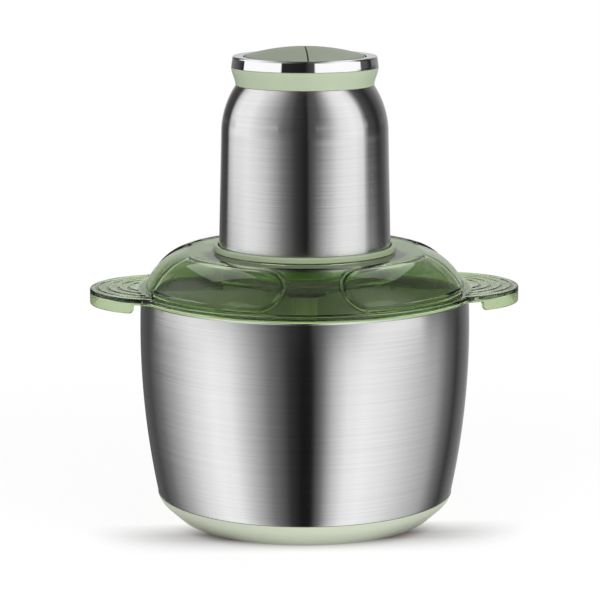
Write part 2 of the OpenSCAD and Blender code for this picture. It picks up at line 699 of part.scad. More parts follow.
module switch_deck() color(grey_c) difference() {
  union() {
    rod(deck_r, deck_z, deck_top_z);
    for (a = [0, 180]) rotate(a) translate([post_x, post_y, 0]) rod(3.2, board_z + board_t, deck_z);
    for (s = [-1, 1]) translate([s * switch_x, 0, 0]) tube(stem_r + 4.2, stem_r + 3, deck_z, deck_top_z + 0.8);
  }
  for (s = [-1, 1]) translate([s * switch_x, 0, 0]) rod(stem_r + 0.3, 0, far);
  for (a = [0, 180]) rotate(a) translate([post_x, post_y, 0]) rod(1.25, 0, deck_z - 2);
  translate([-6, deck_r - 5, 0]) cube([12, 20, far]);
}

// Collar, band and buttons
gland_z = collar_z + collar_h / 2;
gland_r = gland_bore_r + 0.9;
module collar_ring() color(sage_c) difference() {
  rotate_extrude() polygon([[neck_r - 4, housing_top_z - 3.8], [neck_r - housing_wall - 0.7, housing_top_z - 3.8],
    [neck_r - housing_wall - 0.3, housing_top_z], [neck_r, housing_top_z],
    [neck_r + 0.12 * collar_flare, housing_top_z + 0.27 * collar_h],
    [neck_r + 0.3 * collar_flare, housing_top_z + 0.43 * collar_h],
    [neck_r + 0.58 * collar_flare, housing_top_z + 0.61 * collar_h],
    [neck_r + 0.85 * collar_flare, housing_top_z + 0.82 * collar_h],
    [band_r, band_z], [ledge_r, band_z], [ledge_r, deck_z], [neck_r - 4, deck_z]]);
  translate([0, 0, gland_z]) rotate([-90, 0, 0]) cylinder(r = gland_r + 0.1, h = far);
}

module chrome_band() color(chrome_c) {
  lip_r0 = band_r - band_lip;
  rotate_extrude() polygon(concat([[band_r - 1.4, band_z], [band_r - 0.4, band_z], [band_r, band_z + 0.4]],
    arc(band_r - 1.2, band_top_z - 1.2, 1.2, 0, 90, 6),
    arc(lip_r0 + 0.5, band_top_z - 0.5, 0.5, 90, 180, 3),
    [[lip_r0, band_top_z - 1.4], [band_r - 1.4, band_top_z - 1.4]]));
}

module cord_gland() color(black_c) translate([0, 0, gland_z]) rotate([-90, 0, 0]) difference() {
  union() {
    translate([0, 0, button_r + 0.5]) cylinder(r = gland_r, h = band_r - button_r);
    translate([0, 0, band_r]) cylinder(r = gland_r + 0.8, h = 2.4);
  }
  cylinder(r = gland_bore_r, h = far);
}

// One half of the domed top, a shell with a skirt and a stem that reaches its switch
module button_half(side) {
  dome_r = (button_r * button_r + button_dome_h * button_dome_h) / (2 * button_dome_h);
  top_a = asin((button_r - 0.9) / dome_r);
  intersection() {
    rotate_extrude() polygon(concat([[0, button_under_z], [button_r - 1.6, button_under_z],
      [button_r - 1.6, button_under_z - 3.5], [button_r, button_under_z - 3.5]],
      [[button_r, band_top_z - 0.9]],
      arc(0, band_top_z + button_dome_h - dome_r, dome_r, 90 - top_a, 90, 10)));
    translate([side > 0 ? button_slit / 2 : -far - button_slit / 2, -far / 2, 0]) cube([far, far, far]);
  }
  translate([side * switch_x, 0, 0]) rod(stem_r, stem_z, button_under_z + 0.5);
}
module low_speed_button() color(button_c) button_half(-1);
module high_speed_button() color(button_c) button_half(1);

coil_turns = 7;
coil_steps = 60;
coil_sides = 6;
coil_r = stem_r + 1.6;
wire_r = 0.45;
module return_spring(x) {
  z0 = deck_top_z + wire_r;
  z1 = button_under_z - wire_r;
  pts = [for (i = [0:coil_steps]) let (a = 360 * coil_turns * i / coil_steps, z = z0 + (z1 - z0) * i / coil_steps)
    for (j = [0:coil_sides - 1]) let (b = 360 * j / coil_sides, r = coil_r + wire_r * cos(b))
      [x + r * cos(a), r * sin(a), z + wire_r * sin(b)]];
  sides = [for (i = [0:coil_steps - 1]) for (j = [0:coil_sides - 1])
    let (a = i * coil_sides + j, b = i * coil_sides + (j + 1) % coil_sides)
    each [[a, b + coil_sides, b], [a, a + coil_sides, b + coil_sides]]];
  polyhedron(pts, concat(sides, [[for (j = [0:coil_sides - 1]) j],
    [for (j = [coil_sides - 1:-1:0]) coil_steps * coil_sides + j]]), convexity = 8);
}
module low_speed_spring() color(steel_c) return_spring(-switch_x);
module high_speed_spring() color(steel_c) return_spring(switch_x);

// Rotor
armature_r = stator_bore_r - air_gap;
module motor_shaft() color(steel_c) rod(shaft_r, planet_z + 1, upper_bracket_z + 1 + bearing_w);

module armature() color(iron_c) difference() {
  union() {
    rod(armature_r, stator_z, stator_top_z);
    rod(armature_r - 2.5, stator_z - 5.5, stator_top_z + 4.5);
  }
  rod(shaft_r + 0.02, 0, far);
  for (a = [0:30:330]) rotate(a) translate([armature_r - 2.2, -0.9, stator_z - far / 2]) cube([10, 1.8, far]);
}

module commutator() color(copper_c) difference() {
  rod(commutator_r, stator_top_z + 4.5, upper_bracket_z - 1.5);
  rod(shaft_r + 0.02, 0, far);
  for (a = [0:30:330]) rotate(a) translate([commutator_r - 0.6, -0.25, 0]) cube([2, 0.5, far]);
}

module cooling_fan() color(nylon_c) difference() {
  union() {
    rod(shaft_r + 2.5, fan_z, fan_z + fan_h);
    rod(fan_r, fan_z, fan_z + 1.5);
    for (a = [0:40:320]) rotate(a) translate([shaft_r + 2, 0, fan_z + 1]) rotate(12)
      cube([fan_r - shaft_r - 3, 1.2, fan_h - 1]);
  }
  rod(shaft_r + 0.02, 0, far);
}

module sun_gear() color(brass_c) difference() {
  rotate(10) translate([0, 0, planet_z]) linear_extrude(gear_face)
    polygon(gear_line(sun_teeth, sun_pitch_r - dedendum, planet_tip_r, tooth_thin));
  rod(shaft_r + 0.02, 0, far);
}

// Carrier and output
module planet_carrier() color(iron_c) {
  rod(carrier_r, carrier_z, carrier_z + carrier_t);
  rod(output_r, head_z - 8.8, carrier_z);
}

module planet_pins() color(steel_c) for (a = [90, 210, 330]) rotate(a) translate([planet_cr, 0, 0])
  rod(planet_pin_r, carrier_z + carrier_t, planet_z + gear_face + 0.5);

module drive_coupling() color(black_c) difference() {
  hex_rod(drive_af, cap_top_z - socket_depth + 0.6, head_z - 0.8);
  rod(output_r + 0.02, head_z - 9, far);
}

module planet_gear(a) rotate(a) translate([planet_cr, 0, planet_z]) difference() {
  rotate(190) linear_extrude(gear_face)
    polygon(gear_line(sun_teeth, sun_pitch_r - dedendum, planet_tip_r, tooth_thin));
  rod(planet_pin_r + running_gap, -1, far);
}
module planet_gear_1() color(nylon_c) planet_gear(90);
module planet_gear_2() color(nylon_c) planet_gear(210);
module planet_gear_3() color(nylon_c) planet_gear(330);

bowl();
base_boot();
spindle_pin();
spindle_seal();
spindle_nut();
blade_hub();
hub_bush();
drive_cap();
lower_blade();
blade_spacer();
upper_blade();
blade_nut();
lid();
lid_gasket();
hub_gasket();
housing_shell();
base_plate();
output_bush();
ring_gear();
gearbox_screws();
gearbox_cover();
fan_shroud();
lower_bracket();
motor_bearings();
stator_core();
field_coils();
upper_bracket();
brush_holders();
carbon_brushes();
circuit_board();
capacitor();
microswitches();
board_screws();
lead_wires();
switch_deck();
collar_ring();
chrome_band();
cord_gland();
low_speed_button();
high_speed_button();
low_speed_spring();
high_speed_spring();
motor_shaft();
armature();
commutator();
cooling_fan();
sun_gear();
planet_carrier();
planet_pins();
drive_coupling();
planet_gear_1();
planet_gear_2();
planet_gear_3();
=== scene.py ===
"""Looks of the electric food chopper: meshes, finishes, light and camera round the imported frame."""
import json
import logging
from dataclasses import dataclass
from enum import Enum
from functools import cache
from math import acos, asin, atan2, cos, degrees, hypot, pi, radians, sin, sqrt, tan
from typing import Callable, Sequence, TypeAlias

import bmesh
import bpy
from mathutils import Matrix, Vector


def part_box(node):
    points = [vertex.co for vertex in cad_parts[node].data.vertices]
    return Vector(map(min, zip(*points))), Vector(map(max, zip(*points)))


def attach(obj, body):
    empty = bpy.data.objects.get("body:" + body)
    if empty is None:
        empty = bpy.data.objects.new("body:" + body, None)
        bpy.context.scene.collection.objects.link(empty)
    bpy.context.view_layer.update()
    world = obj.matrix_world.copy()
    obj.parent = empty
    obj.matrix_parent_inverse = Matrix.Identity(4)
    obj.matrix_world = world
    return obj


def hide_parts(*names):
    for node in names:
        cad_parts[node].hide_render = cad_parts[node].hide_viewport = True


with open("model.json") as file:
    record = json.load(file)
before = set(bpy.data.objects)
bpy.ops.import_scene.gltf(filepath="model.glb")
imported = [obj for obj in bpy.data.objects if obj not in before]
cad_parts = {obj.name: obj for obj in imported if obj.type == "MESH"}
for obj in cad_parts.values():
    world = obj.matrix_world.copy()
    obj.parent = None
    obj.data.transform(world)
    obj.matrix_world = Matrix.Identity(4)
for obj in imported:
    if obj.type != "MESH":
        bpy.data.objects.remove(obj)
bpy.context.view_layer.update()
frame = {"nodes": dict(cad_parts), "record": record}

LOG = logging.getLogger("chopper")
MM = 0.001
Point2 = tuple[float, float]
Point3 = tuple[float, float, float]
Colour = tuple[float, float, float]
UNIT = (1.0, 1.0, 1.0)
WHITE = (1.0, 1.0, 1.0)


class Body(Enum):
    """Bodies of the frame that the pieces ride on."""

    BOWL = "bowl"
    LID = "lid"
    HEAD = "head"
    LOW_BUTTON = "low_button"
    HIGH_BUTTON = "high_button"


def level(node: str, top: bool) -> float:
    """Gives the height in millimetres of a frame node's highest point, or of its lowest."""
    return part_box(node)[1 if top else 0].z / MM


def arc(cx: float, cy: float, r: float, a0: float, a1: float, n: int) -> list[Point2]:
    """Lists the n + 1 points of an arc from one angle in degrees to another."""
    angles = [radians(a0 + (a1 - a0) * i / n) for i in range(n + 1)]
    return [(cx + r * cos(a), cy + r * sin(a)) for a in angles]


def smoothstep(x: float) -> float:
    """Eases from 0 to 1 while x goes from 0 to 1."""
    x = min(max(x, 0.0), 1.0)
    return x * x * (3 - 2 * x)


def mix(a: float, b: float, t: float) -> float:
    """Blends from a to b while t goes from 0 to 1."""
    return a + (b - a) * t


def toned(colour: Colour, factor: float) -> Colour:
    """Makes a colour darker or lighter by a factor."""
    return tuple(min(c * factor, 1.0) for c in colour)


class Piece:
    """One mesh of the object, built in millimetres in the row frame."""

    def __init__(self, name: str, verts: Sequence[Point3], faces: Sequence[Sequence[int]]) -> None:
        """Makes the mesh and its object.

        Args:
            name: Name of the piece.
            verts: Corners in millimetres.
            faces: Corner numbers of each face.
        """
        mesh = bpy.data.meshes.new(name)
        mesh.from_pydata([(x * MM, y * MM, z * MM) for x, y, z in verts], [], faces)
        self.object = bpy.data.objects.new(name, mesh)
        bpy.context.scene.collection.objects.link(self.object)

    def edit(self, change: Callable[[bmesh.types.BMesh], None]) -> "Piece":
        """Changes the mesh in place.

        Args:
            change: Function that works on the open mesh.

        Returns:
            This piece.
        """
        bm = bmesh.new()
        bm.from_mesh(self.object.data)
        change(bm)
        bm.to_mesh(self.object.data)
        bm.free()
        return self

    def tidy(self, sharp: float = 35.0) -> "Piece":
        """Welds doubles, points the normals outwards and shades smooth up to an angle.

        Args:
            sharp: Angle in degrees above which an edge stays sharp.

        Returns:
            This piece.
        """

        def weld(bm: bmesh.types.BMesh) -> None:
            """Joins doubles and turns the faces outwards."""
            bmesh.ops.remove_doubles(bm, verts=bm.verts, dist=1e-7)
            bmesh.ops.recalc_face_normals(bm, faces=bm.faces)

        self.edit(weld)
        mesh = self.object.data
        mesh.polygons.foreach_set("use_smooth", [True] * len(mesh.polygons))
        mesh.set_sharp_from_angle(angle=radians(sharp))
        return self

    def bevel(self, width: float) -> "Piece":
        """Rounds the sharp edges.

        Args:
            width: Width of the rounding in millimetres.

        Returns:
            This piece.
        """
        modifier = self.object.modifiers.new("edges", "BEVEL")
        modifier.width = width * MM
        modifier.segments = 3
        modifier.limit_method = "ANGLE"
        modifier.angle_limit = radians(40.0)
        modifier.harden_normals = True
        return self

    def finish(self, look: str, body: Body, node: str, slot: str = "") -> None:
        """Dresses the piece, puts it on its body and hides the frame node that it stands for.

        Args:
            look: Name of its finish.
            body: Body that carries it.
            node: Frame node that it stands for.
            slot: Material slot of the record, where it isn't called as the finish. Not used.
        """
        self.object.data.materials.clear()
        self.object.data.materials.append(material_of(look))
        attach(self.object, body.value)
        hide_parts(node)
        LOG.info("piece %s on %s", self.object.name, body.value)


def skin(name: str, rings: Sequence[Sequence[Point3]], sharp: float = 35.0) -> Piece:
    """Joins rings of equal length, the last to the first, to one closed skin.

    Args:
        name: Name of the piece.
        rings: Closed rings of corners in millimetres.
        sharp: Angle in degrees above which an edge stays sharp.

    Returns:
        The piece, tidy.
    """
    count = len(rings[0])
    faces = []
    for i in range(len(rings)):
        here, there = i * count, (i + 1) % len(rings) * count
        for j in range(count):
            k = (j + 1) % count
            faces.append((here + j, there + j, there + k, here + k))
    return Piece(name, [corner for ring in rings for corner in ring], faces).tidy(sharp)


def turned(section: Sequence[Point2], a: float) -> list[Point3]:
    """Turns a section of radius and height to an angle in radians."""
    return [(r * cos(a), r * sin(a), z) for r, z in section]


def lathe(name: str, section: Sequence[Point2], steps: int = 192) -> Piece:
    """Turns a closed section of radius and height in millimetres about Z."""
    return skin(name, [turned(section, 2 * pi * i / steps) for i in range(steps)])


Value: TypeAlias = "Sock | float"


class Sock:
    """A shader socket that takes part in Python arithmetic."""

    def __init__(self, graph: "Graph", socket: bpy.types.NodeSocket) -> None:
        """Keeps the socket and the graph that it is in."""
        self.graph = graph
        self.socket = socket

    def _math(self, operation: str, a: Value, b: Value = 0.0) -> "Sock":
        """Adds a Math node, and gives its output."""
        return self.graph.node("ShaderNodeMath", {"operation": operation}, {0: a, 1: b})

    def __add__(self, other: Value) -> "Sock":
        """Adds."""
        return self._math("ADD", self, other)

    __radd__ = __add__

    def __sub__(self, other: Value) -> "Sock":
        """Subtracts."""
        return self._math("SUBTRACT", self, other)

    def __rsub__(self, other: float) -> "Sock":
        """Subtracts this from a number."""
        return self._math("SUBTRACT", other, self)

    def __mul__(self, other: Value) -> "Sock":
        """Multiplies."""
        return self._math("MULTIPLY", self, other)

    __rmul__ = __mul__

    def __truediv__(self, other: Value) -> "Sock":
        """Divides."""
        return self._math("DIVIDE", self, other)

    def __rtruediv__(self, other: float) -> "Sock":
        """Divides a number by this."""
        return self._math("DIVIDE", other, self)

    def __gt__(self, other: Value) -> "Sock":
        """Gives 1 where this is greater, else 0."""
        return self._math("GREATER_THAN", self, other)

    def __lt__(self, other: Value) -> "Sock":
        """Gives 1 where this is less, else 0."""
        return self._math("LESS_THAN", self, other)

    def top(self, other: Value) -> "Sock":
        """Takes the greater of the two."""
        return self._math("MAXIMUM", self, other)

    def size(self) -> "Sock":
        """Gives this without its sign."""
        return self._math("ABSOLUTE", self)

    def root(self) -> "Sock":
        """Gives the square root."""
        return self._math("SQRT", self)

    def angle(self, other: "Sock") -> "Sock":
        """Gives the angle whose tangent is this over the other, in radians."""
        return self._math("ARCTAN2", self, other)


class Graph:
    """The node tree of one material or world."""

    def __init__(self, tree: bpy.types.NodeTree) -> None:
        """Keeps the node tree, and empties it."""
        self.tree = tree
        tree.nodes.clear()

    def node(
        self, kind: str, settings: dict | None = None, values: dict | None = None, out: int | str = 0
    ) -> Sock:
        """Adds any node.

        Args:
            kind: The node's type.
            settings: Properties that are set first; "stops" sets a ramp's stops.
            values: Value or link of each input socket, by number or name.
            out: Output that is wanted.

        Returns:
            That output.
        """
        made = self.tree.nodes.new(kind)
        for key, value in (settings or {}).items():
            if key == "stops":
                self._stops(made.color_ramp, value)
            else:
                setattr(made, key, value)
        for key, value in (values or {}).items():
            if isinstance(value, Sock):
                self.tree.links.new(value.socket, made.inputs[key])
            else:
                made.inputs[key].default_value = value
        return Sock(self, made.outputs[out]) if made.outputs else made

    @staticmethod
    def _stops(ramp: bpy.types.ColorRamp, stops: Sequence[tuple[float, float]]) -> None:
        """Sets a ramp's grey stops.

        Args:
            ramp: The ramp.
            stops: Place and brightness of each stop.
        """
        while len(ramp.elements) > 1:
            ramp.elements.remove(ramp.elements[0])
        for i, (place, grey) in enumerate(stops):
            element = ramp.elements[0] if i == 0 else ramp.elements.new(place)
            element.position = place
            element.color = (grey, grey, grey, 1)

    def blend(self, factor: Sock, a: Colour | Sock, b: Colour | Sock) -> Sock:
        """Mixes two colours.

        Args:
            factor: 0 gives a, and 1 gives b.
            a: First colour.
            b: Second colour.

        Returns:
            The mixed colour.
        """
        ends = [c if isinstance(c, Sock) else (*c, 1.0) for c in (a, b)]
        values = {"Factor": factor, 6: ends[0], 7: ends[1]}
        return self.node("ShaderNodeMix", {"data_type": "RGBA"}, values, 2)

    def inward(self) -> Sock:
        """Gives 1 where the surface faces the object's axis, and 0 elsewhere."""
        normal = self.node("ShaderNodeNewGeometry", out="Normal")
        inputs = {0: self.position((1, 1, 0)), 1: normal}
        return self.node("ShaderNodeVectorMath", {"operation": "DOT_PRODUCT"}, inputs, "Value") < 0.0

    def position(self, scale: Point3) -> Sock:
        """Gives the place on the object in metres, stretched along each axis."""
        place = self.node("ShaderNodeTexCoord", out="Object")
        return self.node("ShaderNodeVectorMath", {"operation": "MULTIPLY"}, {0: place, 1: scale})

    def noise(self, scale: Point3, detail: float = 3.0, roughness: float = 0.55) -> Sock:
        """Adds a noise texture with so many grains per metre along each axis, and values round 0.5."""
        values = {"Vector": self.position(scale), "Scale": 1.0, "Detail": detail, "Roughness": roughness}
        return self.node("ShaderNodeTexNoise", None, values)

    def parts(self, vector: Sock) -> tuple[Sock, Sock, Sock]:
        """Splits a vector into its X, Y and Z."""
        outs = self.node("ShaderNodeSeparateXYZ", None, {0: vector}).socket.node.outputs
        return Sock(self, outs["X"]), Sock(self, outs["Y"]), Sock(self, outs["Z"])

    def clamp(self, value: Sock) -> Sock:
        """Holds a value between 0 and 1."""
        return self.node("ShaderNodeClamp", None, {"Value": value})

    def background(self, colour: Colour | Sock, strength: float = 1.0) -> Sock:
        """Adds a background shader. A strength of 1 shows white as white."""
        shown = colour if isinstance(colour, Sock) else (*colour, 1.0)
        return self.node("ShaderNodeBackground", None, {"Color": shown, "Strength": strength})

    def bump(self, height: Sock, strength: float, distance: float) -> Sock:
        """Turns a height of so many metres into a normal, of which the strength's share shows."""
        values = {"Strength": strength, "Distance": distance, "Height": height}
        return self.node("ShaderNodeBump", None, values)


@dataclass(frozen=True)
class Finish:
    """Look of one material. A subclass gives the sockets of its Principled shader."""

    name: str

    def sockets(self, g: Graph) -> dict:
        """Gives the value or link of each socket that isn't left as it is, by its name."""
        raise NotImplementedError

    def material(self) -> bpy.types.Material:
        """Makes the material.

        Returns:
            The new material.
        """
        material = bpy.data.materials.new(self.name)
        material.use_nodes = True
        g = Graph(material.node_tree)
        shader = g.node("ShaderNodeBsdfPrincipled", None, self.sockets(g))
        g.node("ShaderNodeOutputMaterial", None, {"Surface": shader})
        return material


@dataclass(frozen=True)
class BrushedSteel(Finish):
    """Stainless sheet with fine brushing that runs round the axis, and a dull inner side, whose colour is
    painted white as painted light for the light that comes in through the lid.
    """

    grey: float = 0.84
    spread: float = 0.14
    rough: float = 0.14
    uneven: float = 0.10
    dull: float = 0.42
    lines: float = 1500.0
    along: float = 7.0
    along_broad: float = 3.0
    fine_share: float = 0.7

    def sockets(self, g: Graph) -> dict:
        """Lays streaks that are long round the axis and fine along it.

        Args:
            g: The material's graph.

        Returns:
            The shader's sockets.
        """
        fine = g.noise((self.along, self.along, self.lines), 3.0, 0.6)
        broad = g.noise((self.along_broad, self.along_broad, self.lines / 4), 2.0)
        streak = fine * self.fine_share + broad * (1.0 - self.fine_share)
        inner = g.inward()
        grey = (self.grey,) * 3
        sheet = g.blend(streak, toned(grey, 1.0 - self.spread), toned(grey, 1.0 + self.spread))
        return {
            # The inner side's colour is painted white: painted light for the light that comes in through the
            # lid.
            "Base Color": g.blend(inner, sheet, WHITE),
            "Metallic": 1.0,
            "Roughness": fine * self.uneven + (self.rough - self.uneven / 2) + inner * self.dull,
            "Anisotropic": 0.9,
            "Anisotropic Rotation": 0.25,
            "Normal": g.bump(fine, 0.06, 0.0001),
        }


@dataclass(frozen=True)
class Moulded(Finish):
    """Moulded plastic or rubber with a faint grain and slight changes of tone."""

    colour: Colour
    rough: float = 0.4
    grain: float = 1800.0
    depth: float = 0.08
    coat: float = 0.0
    specular: float = 0.5
    metallic: float = 0.0
    dark: float = 0.93
    light: float = 1.07
    tone: float = 35.0
    tone_detail: float = 2.0
    uneven: float = 0.12
    grain_round: float = 0.0

    def sockets(self, g: Graph) -> dict:
        """Lays fine grain and broad tone.

        Args:
            g: The material's graph.

        Returns:
            The shader's sockets.
        """
        across = self.grain_round or self.grain
        grain = g.noise((across, across, self.grain), 2.0)
        tone = g.noise((self.tone,) * 3, self.tone_detail)
        return {
            "Base Color": g.blend(tone, toned(self.colour, self.dark), toned(self.colour, self.light)),
            "Metallic": self.metallic,
            "Roughness": grain * self.uneven + (self.rough - self.uneven / 2),
            "Specular IOR Level": self.specular,
            "Coat Weight": self.coat,
            "Coat Roughness": 0.15,
            "Normal": g.bump(grain, self.depth, 0.00005),
        }


@dataclass(frozen=True)
class TurnedMetal(Moulded):
    """Machined or plated metal with faint marks across its axis and a slight stain."""

    rough: float = 0.25
    grain: float = 2500.0
    depth: float = 0.06
    metallic: float = 1.0
    dark: float = 0.82
    light: float = 1.0
    tone: float = 120.0
    tone_detail: float = 3.0
    uneven: float = 0.14
    grain_round: float = 60.0


@dataclass(frozen=True)
class Chrome(Finish):
    """Bright plated trim, a mirror with faint haze."""

    low: Colour = (0.94, 0.945, 0.95)
    high: Colour = (0.98, 0.98, 0.985)
    rough: float = 0.015
    uneven: float = 0.02
    haze: float = 90.0

    def sockets(self, g: Graph) -> dict:
        """Gives the sockets of the hazy mirror."""
        haze = g.noise((self.haze,) * 3, 2.0)
        rough = haze * self.uneven + self.rough
        return {"Base Color": g.blend(haze, self.low, self.high), "Metallic": 1.0, "Roughness": rough}


@dataclass(frozen=True)
class ClearTinted(Finish):
    """Clear plastic with a tint, polished in the mould, with ears that are slightly frosted."""

    tint: Colour
    rough: float = 0.035
    flow: float = 45.0
    deep: float = 0.94
    frost: float = 0.07
    frost_from: float = 0.095
    frost_edge: float = 0.004

    def sockets(self, g: Graph) -> dict:
        """Makes a slightly uneven tint, faint flow waves and the frost.

        Args:
            g: The material's graph.

        Returns:
            The shader's sockets.
        """
        flow = g.noise((self.flow,) * 3, 1.0)
        aside = g.parts(g.position(UNIT))[0].size()
        ears = g.clamp((aside - self.frost_from) / self.frost_edge)
        return {
            "Base Color": g.blend(flow, toned(self.tint, self.deep), self.tint),
            "Roughness": flow * 0.01 + ears * self.frost + self.rough,
            "IOR": 1.46,
            "Transmission Weight": 1.0,
            "Normal": g.bump(flow, 0.01, 0.0002),
        }


@dataclass(frozen=True)
class Wound(Finish):
    """Enamelled copper wire laid turn by turn."""

    colour: Colour = (0.60, 0.27, 0.10)
    turns: float = 420.0
    # Share of the colour left in the grooves between the turns: painted shade
    groove_shade: float = 0.35

    def sockets(self, g: Graph) -> dict:
        """Lays the turns as fine bands along Z, with painted shade in the grooves between them.

        Args:
            g: The material's graph.

        Returns:
            The shader's sockets.
        """
        settings = {"wave_type": "BANDS", "bands_direction": "Z"}
        values = {"Vector": g.position(UNIT), "Scale": self.turns, "Distortion": 0.4}
        turns = g.node("ShaderNodeTexWave", settings, values, 1)
        return {
            # The grooves between the turns are painted darker: painted shade.
            "Base Color": g.blend(turns, toned(self.colour, self.groove_shade), self.colour),
            "Metallic": 0.8,
            "Roughness": 0.35,
            "Normal": g.bump(turns, 0.5, 0.0002),
        }


# Finish of each material slot, and of the lid's bead
FINISHES: dict[str, Finish] = {finish.name: finish for finish in (
    BrushedSteel("bowl_steel"),
    Moulded("boot_silicone", (0.56, 0.61, 0.48), 0.5, 1500.0),
    TurnedMetal("pin_steel", (0.72, 0.72, 0.72)),
    Moulded("seal_rubber", (0.010, 0.011, 0.010), 0.6, 1200.0, specular=0.15),
    Moulded("sage_plastic", (0.86, 0.92, 0.74), 0.35),
    TurnedMetal("bush_brass", (0.76, 0.58, 0.28)),
    Moulded("drive_plastic", (0.008, 0.009, 0.008), 0.6, specular=0.1),
    TurnedMetal("blade_steel", (0.80, 0.80, 0.80), 0.14, 900.0),
    Moulded("gasket_silicone", (0.06, 0.08, 0.05), 0.5, 900.0),
    Moulded("head_plastic", (0.02, 0.021, 0.022), 0.45),
    Moulded("gear_nylon", (0.80, 0.76, 0.64), 0.45),
    TurnedMetal("screw_steel", (0.62, 0.62, 0.60), 0.3),
    TurnedMetal("motor_iron", (0.32, 0.32, 0.33), 0.45, 1500.0),
    TurnedMetal("bearing_steel", (0.75, 0.75, 0.76), 0.12),
    Wound("coil_copper"),
    Moulded("carbon", (0.02, 0.02, 0.02), 0.6, 2600.0, 0.25),
    Moulded("board_green", (0.02, 0.13, 0.05), 0.3, 900.0),
    Moulded("capacitor_plastic", (0.45, 0.40, 0.20), 0.3),
    Moulded("switch_plastic", (0.02, 0.02, 0.025), 0.4),
    Moulded("wire_red", (0.38, 0.03, 0.02), 0.4),
    Moulded("deck_plastic", (0.14, 0.15, 0.16), 0.45),
    Moulded("collar_plastic", (0.455, 0.530, 0.375), 0.32, 2200.0, 0.04),
    Chrome("chrome_trim"),
    # Same sage plastic as the collar, painted darker: painted shade for the button tops, which face up and
    # get less light.
    Moulded("button_plastic", (0.37, 0.42, 0.32), 0.42, 2200.0),
    TurnedMetal("spring_steel", (0.62, 0.62, 0.62), 0.2),
    ClearTinted("lid_plastic", (0.46, 0.58, 0.34)),
    Moulded("lid_bead", (0.42, 0.50, 0.33), 0.25, 2200.0, 0.02, 0.3),
)}


@cache
def material_of(look: str) -> bpy.types.Material:
    """Makes a finish's material once, when it is first asked for."""
    return FINISHES[look].material()


@dataclass
class Bowl:
    """Steel bowl with its boot."""

    radius: float = 92.6
    rim: float = level("bowl", True)
    upright: float = 105.0
    side_curve: float = 455.0
    corner: float = 14.0
    wall: float = 0.8
    floor: float = level("bowl", False)
    bead: float = 1.1
    boss: float = 14.0
    boss_rise: float = 4.0
    boot_top: float = level("base_boot", True)
    boot_draft: float = 11.4
    boot_lip: float = 0.6
    boot_open: float = 52.0

    def __post_init__(self) -> None:
        """Works out the centre of the corner arc."""
        self.side_x = self.radius - self.side_curve
        self.corner_z = self.floor + self.corner
        drop = self.corner_z - self.upright
        self.corner_x = self.side_x + sqrt((self.side_curve - self.corner) ** 2 - drop * drop)
        self.tangent = degrees(asin(-drop / (self.side_curve - self.corner)))

    def line(self, inset: float, top: float) -> list[Point2]:
        """Lists the side's section from the floor up.

        Args:
            inset: Distance inside the outer surface.
            top: Height of the last point.

        Returns:
            Points of the corner arc and of the long side.
        """
        reach = self.side_curve - inset
        end = degrees(asin((top - self.upright) / reach))
        corner = arc(self.corner_x, self.corner_z, self.corner - inset, -90, -self.tangent, 14)
        return corner + arc(self.side_x, self.upright, reach, -self.tangent, end, 40)[1:]

    def steel(self) -> None:
        """Builds the bowl."""
        bead_z = self.rim - self.bead
        wall_r = self.side_x + sqrt(self.side_curve**2 - (bead_z - self.upright) ** 2)
        bead_x = wall_r + 0.78 * self.bead
        boss_z = self.floor + self.boss_rise
        shift = self.wall * tan(radians(22.5))
        ramp = self.boss + self.boss_rise
        section = [(3.1, boss_z), (self.boss, boss_z), (ramp, self.floor)]
        section += self.line(0.0, bead_z - 0.85 * self.bead)
        section += arc(bead_x, bead_z, self.bead, -130, 170, 20)
        section += self.line(self.wall, bead_z)[::-1]
        section += [(ramp + shift, self.floor + self.wall), (self.boss + shift, boss_z + self.wall)]
        section += [(3.1, boss_z + self.wall)]
        lathe("bowl_steel", section).finish("bowl_steel", Body.BOWL, "bowl")

    def boot(self) -> None:
        """Builds the pale boot with its soft edges and anti-slip grooves."""
        drop = self.boot_top - self.corner_z
        lip = self.corner_x + sqrt(self.corner**2 - drop * drop) + self.boot_lip
        toe = lip - self.boot_draft
        seat = self.corner + 0.15
        cover = self.corner + 0.45
        high = -degrees(asin(-drop / seat))
        section = [(self.boot_open, 0.0)]
        for groove in (self.boot_open + 5, self.boot_open + 11):
            section += [(groove, 0.0), (groove + 0.2, 0.8), (groove + 1.8, 0.8), (groove + 2, 0.0)]
        away = (toe - self.corner_x, 0.5 - self.corner_z)
        reach = hypot(*away)
        touch = degrees(atan2(away[1], away[0]) + acos(cover / reach))
        section += [(toe - 1.6, 0.0), (toe - 0.7, 0.12)]
        section += arc(self.corner_x, self.corner_z, cover, touch, high - 1.0, 20)
        section += [(lip - 0.35, self.boot_top)]
        section += arc(self.corner_x, self.corner_z, seat, high, -85, 12)
        section += [(self.corner_x - 3, self.floor), (self.boot_open, self.floor)]
        lathe("boot_ring", section).finish("boot_silicone", Body.BOWL, "base_boot")

    def build(self) -> None:
        """Builds the bowl and its boot."""
        self.steel()
        self.boot()


